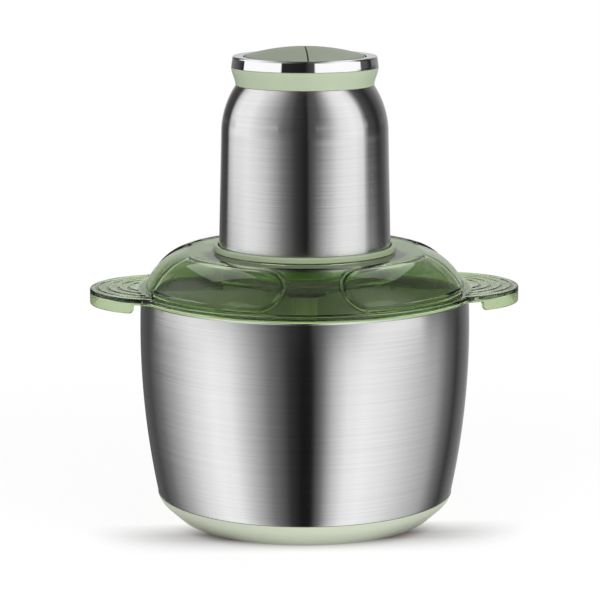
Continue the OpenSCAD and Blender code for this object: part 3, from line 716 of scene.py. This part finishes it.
@dataclass
class Head:
    """Casing of the motor head, with collar, chrome band and buttons."""

    foot: float = 48.3
    waist: float = 46.6
    crown: float = 48.4
    side: float = 75.0
    wall: float = 0.8
    low: float = level("housing_shell", False)
    high: float = level("housing_shell", True)
    band_low: float = level("chrome_band", False)
    band_high: float = level("chrome_band", True)
    band_lip: float = 6.7
    travel: float = 2.0
    barrel: float = 1560.0
    lean: float = 8.0
    flare: float = 2.4
    flare_ease: float = 0.75
    dome: float = 5.0
    slit: float = 0.8
    stem_r: float = 3.0
    stem_x: float = 16.0
    cap_h: float = 7.0

    def __post_init__(self) -> None:
        """Works out the neck and the band."""
        self.crown_x = self.waist - self.crown
        self.shoulder = self.low + self.side
        rise = self.high - self.shoulder
        self.neck = self.crown_x + sqrt(self.crown**2 - rise * rise)
        self.band = self.neck + self.flare
        self.button = self.band - self.band_lip - 0.6

    def line(self, inset: float) -> list[Point2]:
        """Lists the housing's section from its foot to its neck.

        Args:
            inset: Distance inside the outer surface.

        Returns:
            Points of the side and of the shoulder.
        """
        reach = self.crown - inset
        top = degrees(asin((self.high - self.shoulder) / reach))
        steps = 24
        side = [
            (mix(self.foot, self.waist, i / steps) - inset, mix(self.low, self.shoulder, i / steps))
            for i in range(steps)
        ]
        return side + arc(self.crown_x, self.shoulder, reach, 0, top, 32)

    def housing(self) -> None:
        """Builds the steel sleeve."""
        section = self.line(0.0) + self.line(self.wall)[::-1]
        lathe("head_steel", section).finish("bowl_steel", Body.HEAD, "housing_shell")

    def collar(self) -> None:
        """Builds the pale collar, which flares to the band."""
        height = self.band_low - self.high
        steps = 20
        flare = []
        for t in (i / steps for i in range(steps + 1)):
            out = self.flare * mix(t, smoothstep(t), self.flare_ease)
            flare.append((self.neck + out - 0.02, self.high + 0.25 + (height - 0.3) * t))
        ledge = self.neck - 2.1
        section = [(self.neck - 4, self.high - 3.8), (self.neck - 1.5, self.high - 3.8)]
        section += [(self.neck - 1.1, self.high + 0.1), (self.neck - 0.3, self.high + 0.1)]
        section += flare + [(self.band - 0.4, self.band_low), (ledge, self.band_low)]
        section += [(ledge, self.high + 3.2), (self.neck - 4, self.high + 3.2)]
        lathe("collar", section).finish("collar_plastic", Body.HEAD, "collar_ring")

    def chrome(self) -> None:
        """Builds the chrome band as a slight barrel with a flat lip."""
        lip = self.band - self.band_lip
        low_a, high_a = self.lean - 0.1, self.lean + 0.1
        mid = self.band_low + 0.2 - self.barrel * sin(radians(low_a))
        out = self.band - self.barrel * cos(radians(low_a))
        barrel = arc(out, mid, self.barrel, low_a, high_a, 12)
        section = [(self.band - 1.6, self.band_low), (self.band - 0.3, self.band_low)] + barrel
        section += arc(barrel[-1][0] - 0.8, self.band_high - 0.8, 0.8, 20, 90, 8)
        section += arc(lip + 0.5, self.band_high - 0.6, 0.5, 90, 180, 5)
        section += [(lip, self.band_high - 1.5), (self.band - 1.6, self.band_high - 1.5)]
        lathe("chrome_ring", section, 256).finish("chrome_trim", Body.HEAD, "chrome_band")

    def buttons(self) -> None:
        """Builds the two half-round buttons of the domed top."""
        radius = self.button
        dome_r = (radius**2 + self.dome**2) / (2 * self.dome)
        edge = degrees(asin((radius - 0.8) / dome_r))
        under = level("low_speed_spring", True) + self.travel + 0.2
        skirt = self.band_high - self.cap_h
        top_z = self.band_high + self.dome - dome_r
        section = [(0.0, under), (radius - 1.6, under), (radius - 1.6, skirt), (radius, skirt)]
        section += [(radius, self.band_high - 1.0)]
        section += arc(0.0, top_z, dome_r, 90 - edge, 90, 24)
        sides = ((-1, Body.LOW_BUTTON, "low_speed_button"), (1, Body.HIGH_BUTTON, "high_speed_button"))
        for side, body, node in sides:
            piece = lathe(f"{node}_cap", section)
            piece.edit(lambda bm, s=side: self._halve(bm, s)).tidy(30).bevel(0.35)
            piece.finish("button_plastic", body, node)
            foot = level(node, False)
            stem_r = self.stem_r
            stem = lathe(f"{node}_stem", [(0.0, foot), (stem_r, foot), (stem_r, under), (0.0, under)], 40)
            stem.object.data.transform(Matrix.Translation((side * self.stem_x * MM, 0, 0)))
            stem.finish("button_plastic", body, node)

    def _halve(self, bm: bmesh.types.BMesh, side: int) -> None:
        """Cuts a turned dome down to one half, and closes the cut.

        Args:
            bm: The open mesh.
            side: 1 keeps the right half, and -1 the left.
        """
        plane = Vector((side * self.slit / 2 * MM, 0, 0))
        geom = bm.verts[:] + bm.edges[:] + bm.faces[:]
        away = (-side, 0, 0)
        cut = bmesh.ops.bisect_plane(bm, geom=geom, plane_co=plane, plane_no=away, clear_outer=True)
        edges = [e for e in cut["geom_cut"] if isinstance(e, bmesh.types.BMEdge)]
        bmesh.ops.contextual_create(bm, geom=edges)

    def build(self) -> None:
        """Builds the casing from the foot up."""
        self.housing()
        self.collar()
        self.chrome()
        self.buttons()


@dataclass
class Dome:
    """Section of the lid's dome, and the four raised windows on its side."""

    foot_z: float
    height: float = 20.5
    foot_r: float = 90.0
    top_r: float = 66.0
    curve: float = 34.0
    wall: float = 2.6
    shoulder: float = 3.0
    rise: float = 1.25
    step: float = 1.3
    crown: float = 5.0
    end_angle: float = 16.5
    nose_angle: float = 10.3
    corner: float = 2.5
    inner_gap: float = 2.2

    def __post_init__(self) -> None:
        """Works out the side's arc and the rounded shoulder above it."""
        self.top_z = self.foot_z + self.height
        dx, dz = self.top_r - self.foot_r, self.height
        length = hypot(dx, dz)
        reach = sqrt(self.curve**2 - length * length / 4)
        self.cx = (self.foot_r + self.top_r) / 2 - dz / length * reach
        self.cz = (self.foot_z + self.top_z) / 2 + dx / length * reach
        self.top_a = atan2(self.top_z - self.cz, self.top_r - self.cx)
        self.foot_a = atan2(self.foot_z - self.cz, self.foot_r - self.cx)
        self.length = self.curve * (self.top_a - self.foot_a)
        a = self.top_a - self.shoulder / self.curve
        self.bend = (self.cx + self.curve * cos(a), self.cz + self.curve * sin(a))
        self.bend_r = self.bend[0] - tan(a) * (self.top_z - self.bend[1])
        tangent = hypot(self.bend[0] - self.bend_r, self.bend[1] - self.top_z)
        self.flat_s = self.bend_r - tangent - self.top_r

    def base(self, s: float) -> tuple[float, float, float, float]:
        """Gives a point of the plain outer line and its normal.

        Args:
            s: Distance down the line from the top of the side, negative on the flat top.

        Returns:
            Radius, height, and the normal's two parts.
        """
        if s <= self.flat_s:
            return self.top_r + s, self.top_z, 0.0, 1.0
        if s >= self.shoulder:
            a = self.top_a - s / self.curve
            c, t = cos(a), sin(a)
            return self.cx + self.curve * c, self.cz + self.curve * t, c, t
        t = (s - self.flat_s) / (self.shoulder - self.flat_s)
        start, knee, end = (self.top_r + self.flat_s, self.top_z), (self.bend_r, self.top_z), self.bend
        r, z = (mix(mix(start[i], knee[i], t), mix(knee[i], end[i], t), t) for i in (0, 1))
        dr, dz = (mix(knee[i] - start[i], end[i] - knee[i], t) for i in (0, 1))
        size = hypot(dr, dz)
        return r, z, -dz / size, dr / size

    def inside(self, s: float, a: float) -> float:
        """Gives how far a point of the side is inside its window.

        Args:
            s: Distance down the side.
            a: Angle from the ear's axis in degrees, from 0 to 90.

        Returns:
            Distance from the window's edge in millimetres, negative outside.
        """
        r = self.base(s)[0]
        half = self.length / 2
        along = r * radians(90 - self.nose_angle - a)
        across = half - abs(s - half)
        if along < half:
            across = half - hypot(half - along, s - half)
        end = r * radians(a - self.end_angle)
        near, far = sorted((across, end))
        if far < self.corner:
            return self.corner - hypot(self.corner - near, self.corner - far)
        return near

    def lift(self, s: float, a: float, gap: float) -> float:
        """Gives how far a window stands out of the side.

        Args:
            s: Distance down the side.
            a: Angle from the ear's axis in degrees, from 0 to 90.
            gap: How far inside the window's edge its step lies.

        Returns:
            Height in millimetres.
        """
        edge = self.inside(s, a) - gap
        if edge <= 0:
            return 0.0
        return self.rise * (0.78 * smoothstep(edge / self.step) + 0.22 * smoothstep(edge / self.crown))

    def point(self, s: float, a: float, inner: bool) -> Point2:
        """Gives a point of the shell.

        Args:
            s: Distance down the outer line.
            a: Angle from the ear's axis in degrees, from 0 to 90.
            inner: True on the inner surface.

        Returns:
            Radius and height.
        """
        r, z, nr, nz = self.base(s)
        out = self.lift(s, a, self.inner_gap if inner else 0.0) - (self.wall if inner else 0.0)
        return r + nr * out, z + nz * out


@dataclass
class Lid:
    """Clear lid: flange with ears, dome, well and plug in one moulding, with ribs under the dome."""

    flange_r: float = 95.9
    plate: float = 2.4
    ear_r: float = 41.0
    ear_out: float = 24.6
    fillet: float = 12.0
    round_off: float = 0.8
    wall: float = 1.7
    skirt: float = 1.2
    ear_h: float = 8.5
    wall_half: float = 65.0
    wall_corner: float = 3.0
    ridges: tuple[float, ...] = (4.7, 10.4, 16.5, 22.2)
    ridge_h: float = 0.5
    ridge_half: float = 1.1
    well_in: float = 48.7
    well_wall: float = 2.3
    well_depth: float = 12.5
    well_floor: float = 2.5
    hole: float = 16.0
    rib_r: float = 28.2
    rib_h: float = 4.5
    rib_wall: float = 1.8
    hollow_r: float = 88.1
    plug_wall: float = 1.8
    baffle_angles: tuple[float, ...] = (24.0, 156.0, 204.0, 336.0)
    baffle_t: float = 2.0
    side_steps: int = 52
    flat_steps: int = 44
    low: float = level("bowl", True) + 0.3
    top: float = level("lid", True)

    def __post_init__(self) -> None:
        """Works out the levels, and where the ear, its fillet and the flange meet."""
        self.high = self.low + self.plate
        self.dome = Dome(self.high)
        self.floor = self.dome.top_z - self.well_depth
        self.under = self.floor - self.well_floor
        self.ear_x = self.flange_r + self.ear_out - self.ear_r
        reach = self.ear_r + self.fillet
        big = self.flange_r + self.fillet
        self.fillet_x = (big**2 - reach**2 + self.ear_x**2) / (2 * self.ear_x)
        self.fillet_y = sqrt(big**2 - self.fillet_x**2)
        touch = self.ear_r / reach
        ear_y = self.fillet_y * touch
        self.ear_end = degrees(atan2(ear_y, self.ear_x + (self.fillet_x - self.ear_x) * touch))
        end = radians(self.wall_half)
        end_x, end_y = self.ear_x + self.ear_r * cos(end), self.ear_r * sin(end)
        self.wall_end = degrees(atan2(end_y, end_x))
        self.flange_start = degrees(atan2(self.fillet_y, self.fillet_x))
        plug_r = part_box("lid_gasket")[1].x / MM - 1.5
        self.plug = (plug_r, level("lid_gasket", False) - 2.0)

    def edge(self, a: float) -> float:
        """Gives the radius of the lid's outline.

        Args:
            a: Angle from the ear's axis in degrees, from 0 to 90.

        Returns:
            Distance from the axis to the ear, to its fillet or to the flange.
        """
        if a >= self.flange_start:
            return self.flange_r
        c, s = cos(radians(a)), sin(radians(a))
        if a <= self.ear_end:
            across = self.ear_x * s
            return self.ear_x * c + sqrt(self.ear_r**2 - across**2)
        along = self.fillet_x * c + self.fillet_y * s
        across = self.fillet_y * c - self.fillet_x * s
        return along - sqrt(max(self.fillet**2 - across**2, 0.0))

    def well_rows(self) -> tuple[list[Point2], list[Point2]]:
        """Lists the well's section in two runs.

        Returns:
            The run from under the dome round the floor and up to the bead, and the fillet beside the bead.
        """
        inner, outer = self.well_in, self.well_in + self.well_wall
        under, rib_low = self.under, self.under - self.rib_h
        run = [(outer, self.dome.top_z - self.dome.wall - 0.4), (outer, under + 0.6), (outer - 0.6, under)]
        rib_out = self.rib_r + self.rib_wall
        run += [(rib_out, under), (rib_out, rib_low), (self.rib_r, rib_low), (self.rib_r, under)]
        run += [(self.hole, under), (self.hole, self.floor - 0.3), (self.hole + 0.3, self.floor)]
        run += arc(inner - 0.6, self.floor + 0.6, 0.6, -90, 0, 4)
        run += [(inner, self.dome.top_z + 0.1), (outer, self.dome.top_z + 0.1)]
        return run, arc(outer + 0.5, self.dome.top_z + 0.5, 0.5, 180, 270, 4)[1:]

    def wall_low(self, a: float) -> float:
        """Gives how low the lid's outer wall hangs.

        Args:
            a: Angle from the ear's axis in degrees, from 0 to 90.

        Returns:
            Height of its lower edge, which has a round corner where the ear's wall ends.
        """
        if a > self.wall_end:
            return self.low - self.skirt
        r, turn = self.edge(a), radians(a)
        left = self.wall_half - degrees(atan2(r * sin(turn), r * cos(turn) - self.ear_x))
        short = max(self.wall_corner - radians(left) * self.ear_r, 0.0)
        lift = self.wall_corner - sqrt(max(self.wall_corner**2 - short**2, 0.0))
        return self.high - self.ear_h + lift

    def ridge(self, r: float, a: float) -> float:
        """Gives the height of the ear's arc ridges over a point.

        Args:
            r: Distance from the lid's axis.
            a: Angle from the ear's axis in degrees.

        Returns:
            Height above the plate.
        """
        turn = radians(a)
        away = hypot(r * cos(turn) - self.ear_x, r * sin(turn))
        off = min(abs(away - self.ear_r + step) for step in self.ridges)
        rise = 0.5 + 0.5 * cos(pi * min(off / self.ridge_half, 1.0))
        return rise * self.ridge_h if r > self.flange_r - 2.0 else 0.0

    def column(self, a: float) -> list[Point2]:
        """Lists the lid's whole section at one angle.

        Args:
            a: Angle from the ear's axis in degrees, from 0 to 90.

        Returns:
            Closed run of radius and height.
        """
        dome, r0 = self.dome, self.round_off
        well, rows = self.well_rows()
        start = self.well_in + self.well_wall - dome.top_r
        flat = [mix(start + 1.6, dome.flat_s, i / 4) for i in range(5)]
        steps = self.side_steps
        down = flat[:-1] + [mix(dome.flat_s, dome.length, i / steps) for i in range(steps + 1)]
        rows += [dome.point(s, a, False) for s in down]
        edge = self.edge(a)
        first = dome.foot_r + 0.6
        flat_r = [mix(first, edge - r0, i / self.flat_steps) for i in range(self.flat_steps)]
        rows += [(r, self.high + self.ridge(r, a)) for r in flat_r]
        foot, inner = self.wall_low(a), edge - self.wall
        rows += arc(edge - r0, self.high - r0, r0, 90, 0, 6)
        rows += arc(edge - 0.5, foot + 0.5, 0.5, 0, -90, 4)
        rows += [(inner + 0.4, foot), (inner, foot + 0.4), (inner, self.low - 0.3), (inner - 0.3, self.low)]
        plug_r, plug_z = self.plug
        plug_in = plug_r - self.plug_wall
        rows += [(mix(inner, plug_r, i / 3), self.low) for i in (1, 2, 3)]
        rows += [(plug_r, plug_z + 0.4), (plug_r - 0.4, plug_z), (plug_in + 0.4, plug_z)]
        rows += [(plug_in, plug_z + 0.4), (min(self.hollow_r, plug_in), self.low)]
        rows += [dome.point(s, a, True) for s in reversed(down[2:])]
        return rows + well

    def angles(self) -> list[float]:
        """Lists the angles of a quarter's columns, closer where a wall or a window ends.

        Returns:
            Degrees from the ear's axis.
        """
        end = self.wall_end
        zones = ((0.0, 14.0, 24), (14.0, end - 2.2, 12), (end - 2.2, end, 12), (end + 0.02, 28.0, 12))
        zones += ((28.0, 65.0, 28), (65.0, 81.0, 36), (81.0, 90.0, 8))
        return [mix(a0, a1, i / n) for a0, a1, n in zones for i in range(n)] + [90.0]

    def shell(self) -> None:
        """Builds the moulding as one closed skin."""
        quarter = self.angles()
        around = quarter + [180 - a for a in quarter[-2::-1]]
        around += [a + 180 for a in around[1:-1]]
        sections = {a: self.column(a) for a in quarter}
        rings = []
        for a in around:
            fold = min(a % 180, 180 - a % 180)
            nearest = min(quarter, key=lambda q: abs(q - fold))
            rings.append(turned(sections[nearest], radians(a)))
        skin("lid_shell", rings, 32).finish("lid_plastic", Body.LID, "lid")

    def bead(self) -> None:
        """Builds the thick bead round the well's mouth, which looks pale and milky."""
        inner, outer, foot = self.well_in, self.well_in + self.well_wall, self.dome.top_z + 0.12
        section = [(inner, foot), (outer, foot)] + arc(outer - 1.0, self.top - 1.0, 1.0, 0, 90, 8)
        section += arc(inner + 0.6, self.top - 0.6, 0.6, 90, 180, 5)
        lathe("lid_bead", section).finish("lid_bead", Body.LID, "lid", "lid_plastic")

    def baffles(self) -> None:
        """Builds the four ribs between the well and the dome's side."""
        dome = self.dome
        well = self.well_in + self.well_wall + 0.03
        foot = self.high + 2.0
        inner = dome.curve - dome.wall - 0.03
        a0 = degrees(asin((foot - dome.cz) / inner))
        a1 = degrees(asin((dome.top_z - dome.wall - 0.03 - dome.cz) / inner))
        side = arc(dome.cx, dome.cz, inner, a0, a1, 16)
        outline = [(well, foot)] + side + [(well, side[-1][1])]
        half = self.baffle_t / 2
        for number, a in enumerate(self.baffle_angles):
            c, s = cos(radians(a)), sin(radians(a))
            verts = [(r * c - t * s, r * s + t * c, z) for t in (-half, half) for r, z in outline]
            n = len(outline)
            faces = [tuple(range(n)), tuple(range(2 * n - 1, n - 1, -1))]
            faces += [(i, n + i, n + (i + 1) % n, (i + 1) % n) for i in range(n)]
            piece = Piece(f"lid_rib_{number + 1}", verts, faces).tidy(30)
            piece.finish("lid_plastic", Body.LID, "lid")

    def build(self) -> None:
        """Builds the lid."""
        self.shell()
        self.bead()
        self.baffles()


def dress_nodes() -> None:
    """Gives every frame node that keeps its own shape its finish."""
    slots = {part["node"]: part["material_slot"] for part in frame["record"]["subparts"]}
    for name, node in frame["nodes"].items():
        node.data.materials.clear()
        node.data.materials.append(material_of(slots[name]))
        LOG.info("node %s dressed as %s", name, slots[name])


# Light columns round the object: angle from the camera in degrees, and brightness, both set until
# the steel has light and dark bands where the photo has them. The bowl reflects the low ones
LOW_BOXES = (
    (-178, 0.30), (-165, 0.12), (-150, 0.09), (-140, 0.07), (-124, 0.16), (-104, 0.44), (-85, 0.80),
    (-68, 1.0), (-54, 0.94), (-40, 0.55), (-25, 0.19), (-11, 0.035), (-2, 0.008), (5, 0.01), (12, 0.17),
    (20, 0.58), (30, 0.92), (42, 1.0), (62, 0.86), (85, 0.60), (104, 0.42), (117, 0.17), (132, 0.04),
    (155, 0.20), (172, 0.4), (182, 0.3),
)
# The head's housing reflects these
SIDE_BOXES = (
    (-172, 0.60), (-160, 0.2), (-150, 0.07), (-131, 0.04), (-124, 0.70), (-112, 0.95), (-85, 0.94),
    (-68, 0.70), (-48, 0.40), (-31, 0.16), (-15, 0.05), (3, 0.012), (5, 0.06), (20, 0.11), (32, 0.33),
    (46, 0.74), (54, 0.88), (72, 1.0), (86, 0.86), (92, 0.30), (97, 0.08), (120, 0.02), (140, 0.13),
    (160, 0.35), (172, 0.6), (182, 0.6),
)
# The chrome band reflects these
LEVEL_BOXES = (
    (-170, 0.6), (-160, 0.2), (-114, 0.02), (-111, 0.02), (-110, 1.0), (-38, 1.0), (-36.5, 0.02),
    (0, 0.012), (8, 0.05), (15, 0.07), (16, 1.0), (97, 1.0), (98, 0.10), (112, 0.08), (124, 0.01),
    (131, 0.17), (160, 0.3), (170, 0.6),
)


@dataclass
class Studio:
    """Floor, light, surroundings and camera. Heights in the world are parts of a unit direction."""

    distance: float = 1.350
    height: float = 0.372
    aside: float = -0.0027
    turn: float = 3.0
    tilt: float = 10.47
    lens: float = 146.26
    sensor: float = 36.0
    aim: float = 0.12
    soft: float = 0.48
    inside: float = 1.5
    ceiling: float = 1.5
    low_end: float = -0.143
    low_fade: float = 0.02
    band_rise: float = 0.278
    band_drop: float = 0.087
    band_half: float = 0.010
    roof: float = 0.42
    roof_half: float = 0.95
    roof_fade: float = 0.2
    roof_grey: float = 0.04
    zenith: float = 0.86
    zenith_fade: float = 0.08
    zenith_grey: float = 0.08
    box_low: float = 0.3
    box_depth: tuple[float, float] = (0.38, 1.6)
    box_width: tuple[float, float] = (0.25, 0.68)
    floor_half: float = 3.0
    floor_colour: Colour = (0.22, 0.22, 0.22)
    glow: float = 0.84
    # Painted shadow in the floor's glow: its colour, the occlusion's reach and gain, and the back and front
    # edges of its strip
    shade: Colour = (0.04, 0.02, 0.02)
    shade_reach: float = 0.05
    shade_gain: float = 1.2
    shade_back: tuple[float, float] = (-0.024, 0.024)
    shade_front: tuple[float, float] = (0.085, 0.027)
    white_from: float = 0.22
    white_fade: float = 0.25

    def camera(self) -> None:
        """Sets the camera where the photograph was taken from."""
        data = bpy.data.cameras.new("camera")
        data.sensor_width = self.sensor
        data.lens = self.lens
        camera = bpy.data.objects.new("camera", data)
        a = radians(self.turn)
        x = self.aside * cos(a) - self.distance * sin(a)
        y = -self.aside * sin(a) - self.distance * cos(a)
        camera.location = (x, y, self.height)
        camera.rotation_euler = (radians(90 - self.tilt), 0, -a)
        bpy.context.scene.collection.objects.link(camera)
        bpy.context.scene.camera = camera

    def floor(self) -> None:
        """Lays a white floor: its faint diffuse part takes the lamps' shadows, and its glow carries a painted
        shadow, darkened by ambient occlusion within a strip in front of the object.
        """
        mesh = bpy.data.meshes.new("floor")
        s = self.floor_half
        mesh.from_pydata([(-s, -s, 0), (s, -s, 0), (s, s, 0), (-s, s, 0)], [], [(0, 1, 2, 3)])
        plane = bpy.data.objects.new("floor", mesh)
        bpy.context.scene.collection.objects.link(plane)
        material = bpy.data.materials.new("floor")
        material.use_nodes = True
        g = Graph(material.node_tree)
        # Painted shadow: the glow darkens by ambient occlusion, only within a strip in front of the object.
        open_sky = g.node("ShaderNodeAmbientOcclusion", {"samples": 16}, {"Distance": self.shade_reach}, "AO")
        place = g.node("ShaderNodeTexCoord", out="Object")
        forward = g.parts(place)[1]
        back, back_fade = self.shade_back
        front, front_fade = self.shade_front
        strip = g.clamp((back - forward) / back_fade) * g.clamp((forward + front) / front_fade)
        glow_with_painted_shadow = g.blend(g.clamp((1.0 - open_sky) * strip * self.shade_gain), WHITE, self.shade)
        near = g.node("ShaderNodeEmission", None, {"Color": glow_with_painted_shadow, "Strength": self.glow})
        diffuse = g.node("ShaderNodeBsdfDiffuse", None, {"Color": (*self.floor_colour, 1)})
        both = g.node("ShaderNodeAddShader", None, {0: diffuse, 1: near})
        far = g.node("ShaderNodeEmission", None, {"Color": (*WHITE, 1), "Strength": 1.0})
        away = g.node("ShaderNodeVectorMath", {"operation": "LENGTH"}, {0: place}, "Value")
        fade = g.clamp((away - self.white_from) / self.white_fade)
        total = g.node("ShaderNodeMixShader", None, {0: fade, 1: both, 2: far})
        g.node("ShaderNodeOutputMaterial", None, {"Surface": total})
        mesh.materials.append(material)
        plane.visible_glossy = False

    def reflections(self, g: Graph, through: Sock) -> Sock:
        """Makes what the object reflects, and what shows upwards through its clear parts.

        Args:
            g: The world's graph.
            through: 1 for a ray that has passed through a clear part.

        Returns:
            The background shader.
        """
        x, y, z = g.parts(g.node("ShaderNodeTexCoord", out="Generated"))
        around = x.angle(y * -1.0) / (2 * pi) + 0.5
        tables = (LOW_BOXES, SIDE_BOXES, LEVEL_BOXES)
        low, side, band = (self.columns(g, around, boxes) for boxes in tables)
        grey = g.blend((z - self.low_end) / self.low_fade, low, side)
        rise = ((1.0 - y) / 2.0).root() * self.band_rise - self.band_drop
        grey = g.blend((z - rise).size() < self.band_half, grey, band)
        across = (x / z).size()
        above = (z > self.roof) * (y > 0.0)
        roof = g.clamp((self.roof_half - across) / self.roof_fade) * above
        grey = g.blend(roof, grey, (self.roof_grey,) * 3)
        grey = g.blend((z - self.zenith) / self.zenith_fade, grey, (self.zenith_grey,) * 3)
        grey = g.blend(through * (z > self.roof), grey, (self.inside,) * 3)
        near, far = self.box_depth
        narrow, wide = self.box_width
        rear = (z > self.box_low) * (y > z * near) * (y < z * far) * (across > narrow) * (across < wide)
        mirror = g.background(grey)
        return g.node("ShaderNodeMixShader", None, {0: rear, 1: mirror, 2: g.background(WHITE, self.ceiling)})

    def surroundings(self) -> None:
        """Makes the studio: white behind the object, soft light, and tall soft boxes for reflections."""
        world = bpy.data.worlds.new("studio")
        bpy.context.scene.world = world
        world.use_nodes = True
        g = Graph(world.node_tree)
        rays = ("Is Camera Ray", "Is Glossy Ray", "Is Transmission Ray")
        camera, glossy, through = (g.node("ShaderNodeLightPath", out=name) for name in rays)
        mirror = self.reflections(g, through)
        soft = g.background(WHITE, self.soft)
        seen = g.node("ShaderNodeMixShader", None, {0: glossy.top(through), 1: soft, 2: mirror})
        z = g.parts(g.node("ShaderNodeTexCoord", out="Generated"))[2]
        white = camera.top(through * (z < self.roof))
        total = g.node("ShaderNodeMixShader", None, {0: white, 1: seen, 2: g.background(WHITE)})
        g.node("ShaderNodeOutputWorld", None, {"Surface": total})

    def columns(self, g: Graph, around: Sock, boxes: Sequence[tuple[float, float]]) -> Sock:
        """Lays a table's columns round the object, where around is 0.5 in front."""
        stops = [((d - self.turn + 180) / 360, v) for d, v in boxes if d - self.turn > -180]
        return g.node("ShaderNodeValToRGB", {"stops": stops}, {0: around})

    def lamps(self) -> None:
        """Hangs two large soft lamps, left and right of the camera, and a weak one above it all."""
        for name, place, size, power in (
            ("lamp_left", (-1.0, -1.0, 0.55), 0.9, 6.2),
            ("lamp_right", (1.0, -0.9, 0.55), 0.9, 8.2),
            ("lamp_top", (0.0, 0.1, 1.4), 1.0, 1.5),
        ):
            data = bpy.data.lights.new(name, "AREA")
            data.size = size
            data.energy = power
            lamp = bpy.data.objects.new(name, data)
            lamp.location = place
            aim = Vector((0, 0, self.aim)) - Vector(place)
            lamp.rotation_euler = aim.to_track_quat("-Z", "Y").to_euler()
            lamp.visible_glossy = False
            bpy.context.scene.collection.objects.link(lamp)

    def build(self) -> None:
        """Sets up the studio."""
        bpy.context.scene.view_settings.view_transform = "Standard"
        self.camera()
        self.floor()
        self.surroundings()
        self.lamps()


def main() -> None:
    """Dresses the frame nodes in their finishes and builds everything."""
    logging.basicConfig(level=logging.INFO, format="%(message)s")
    dress_nodes()
    for part in (Studio(), Bowl(), Head(), Lid()):
        part.build()


if __name__ == "__main__":
    main()
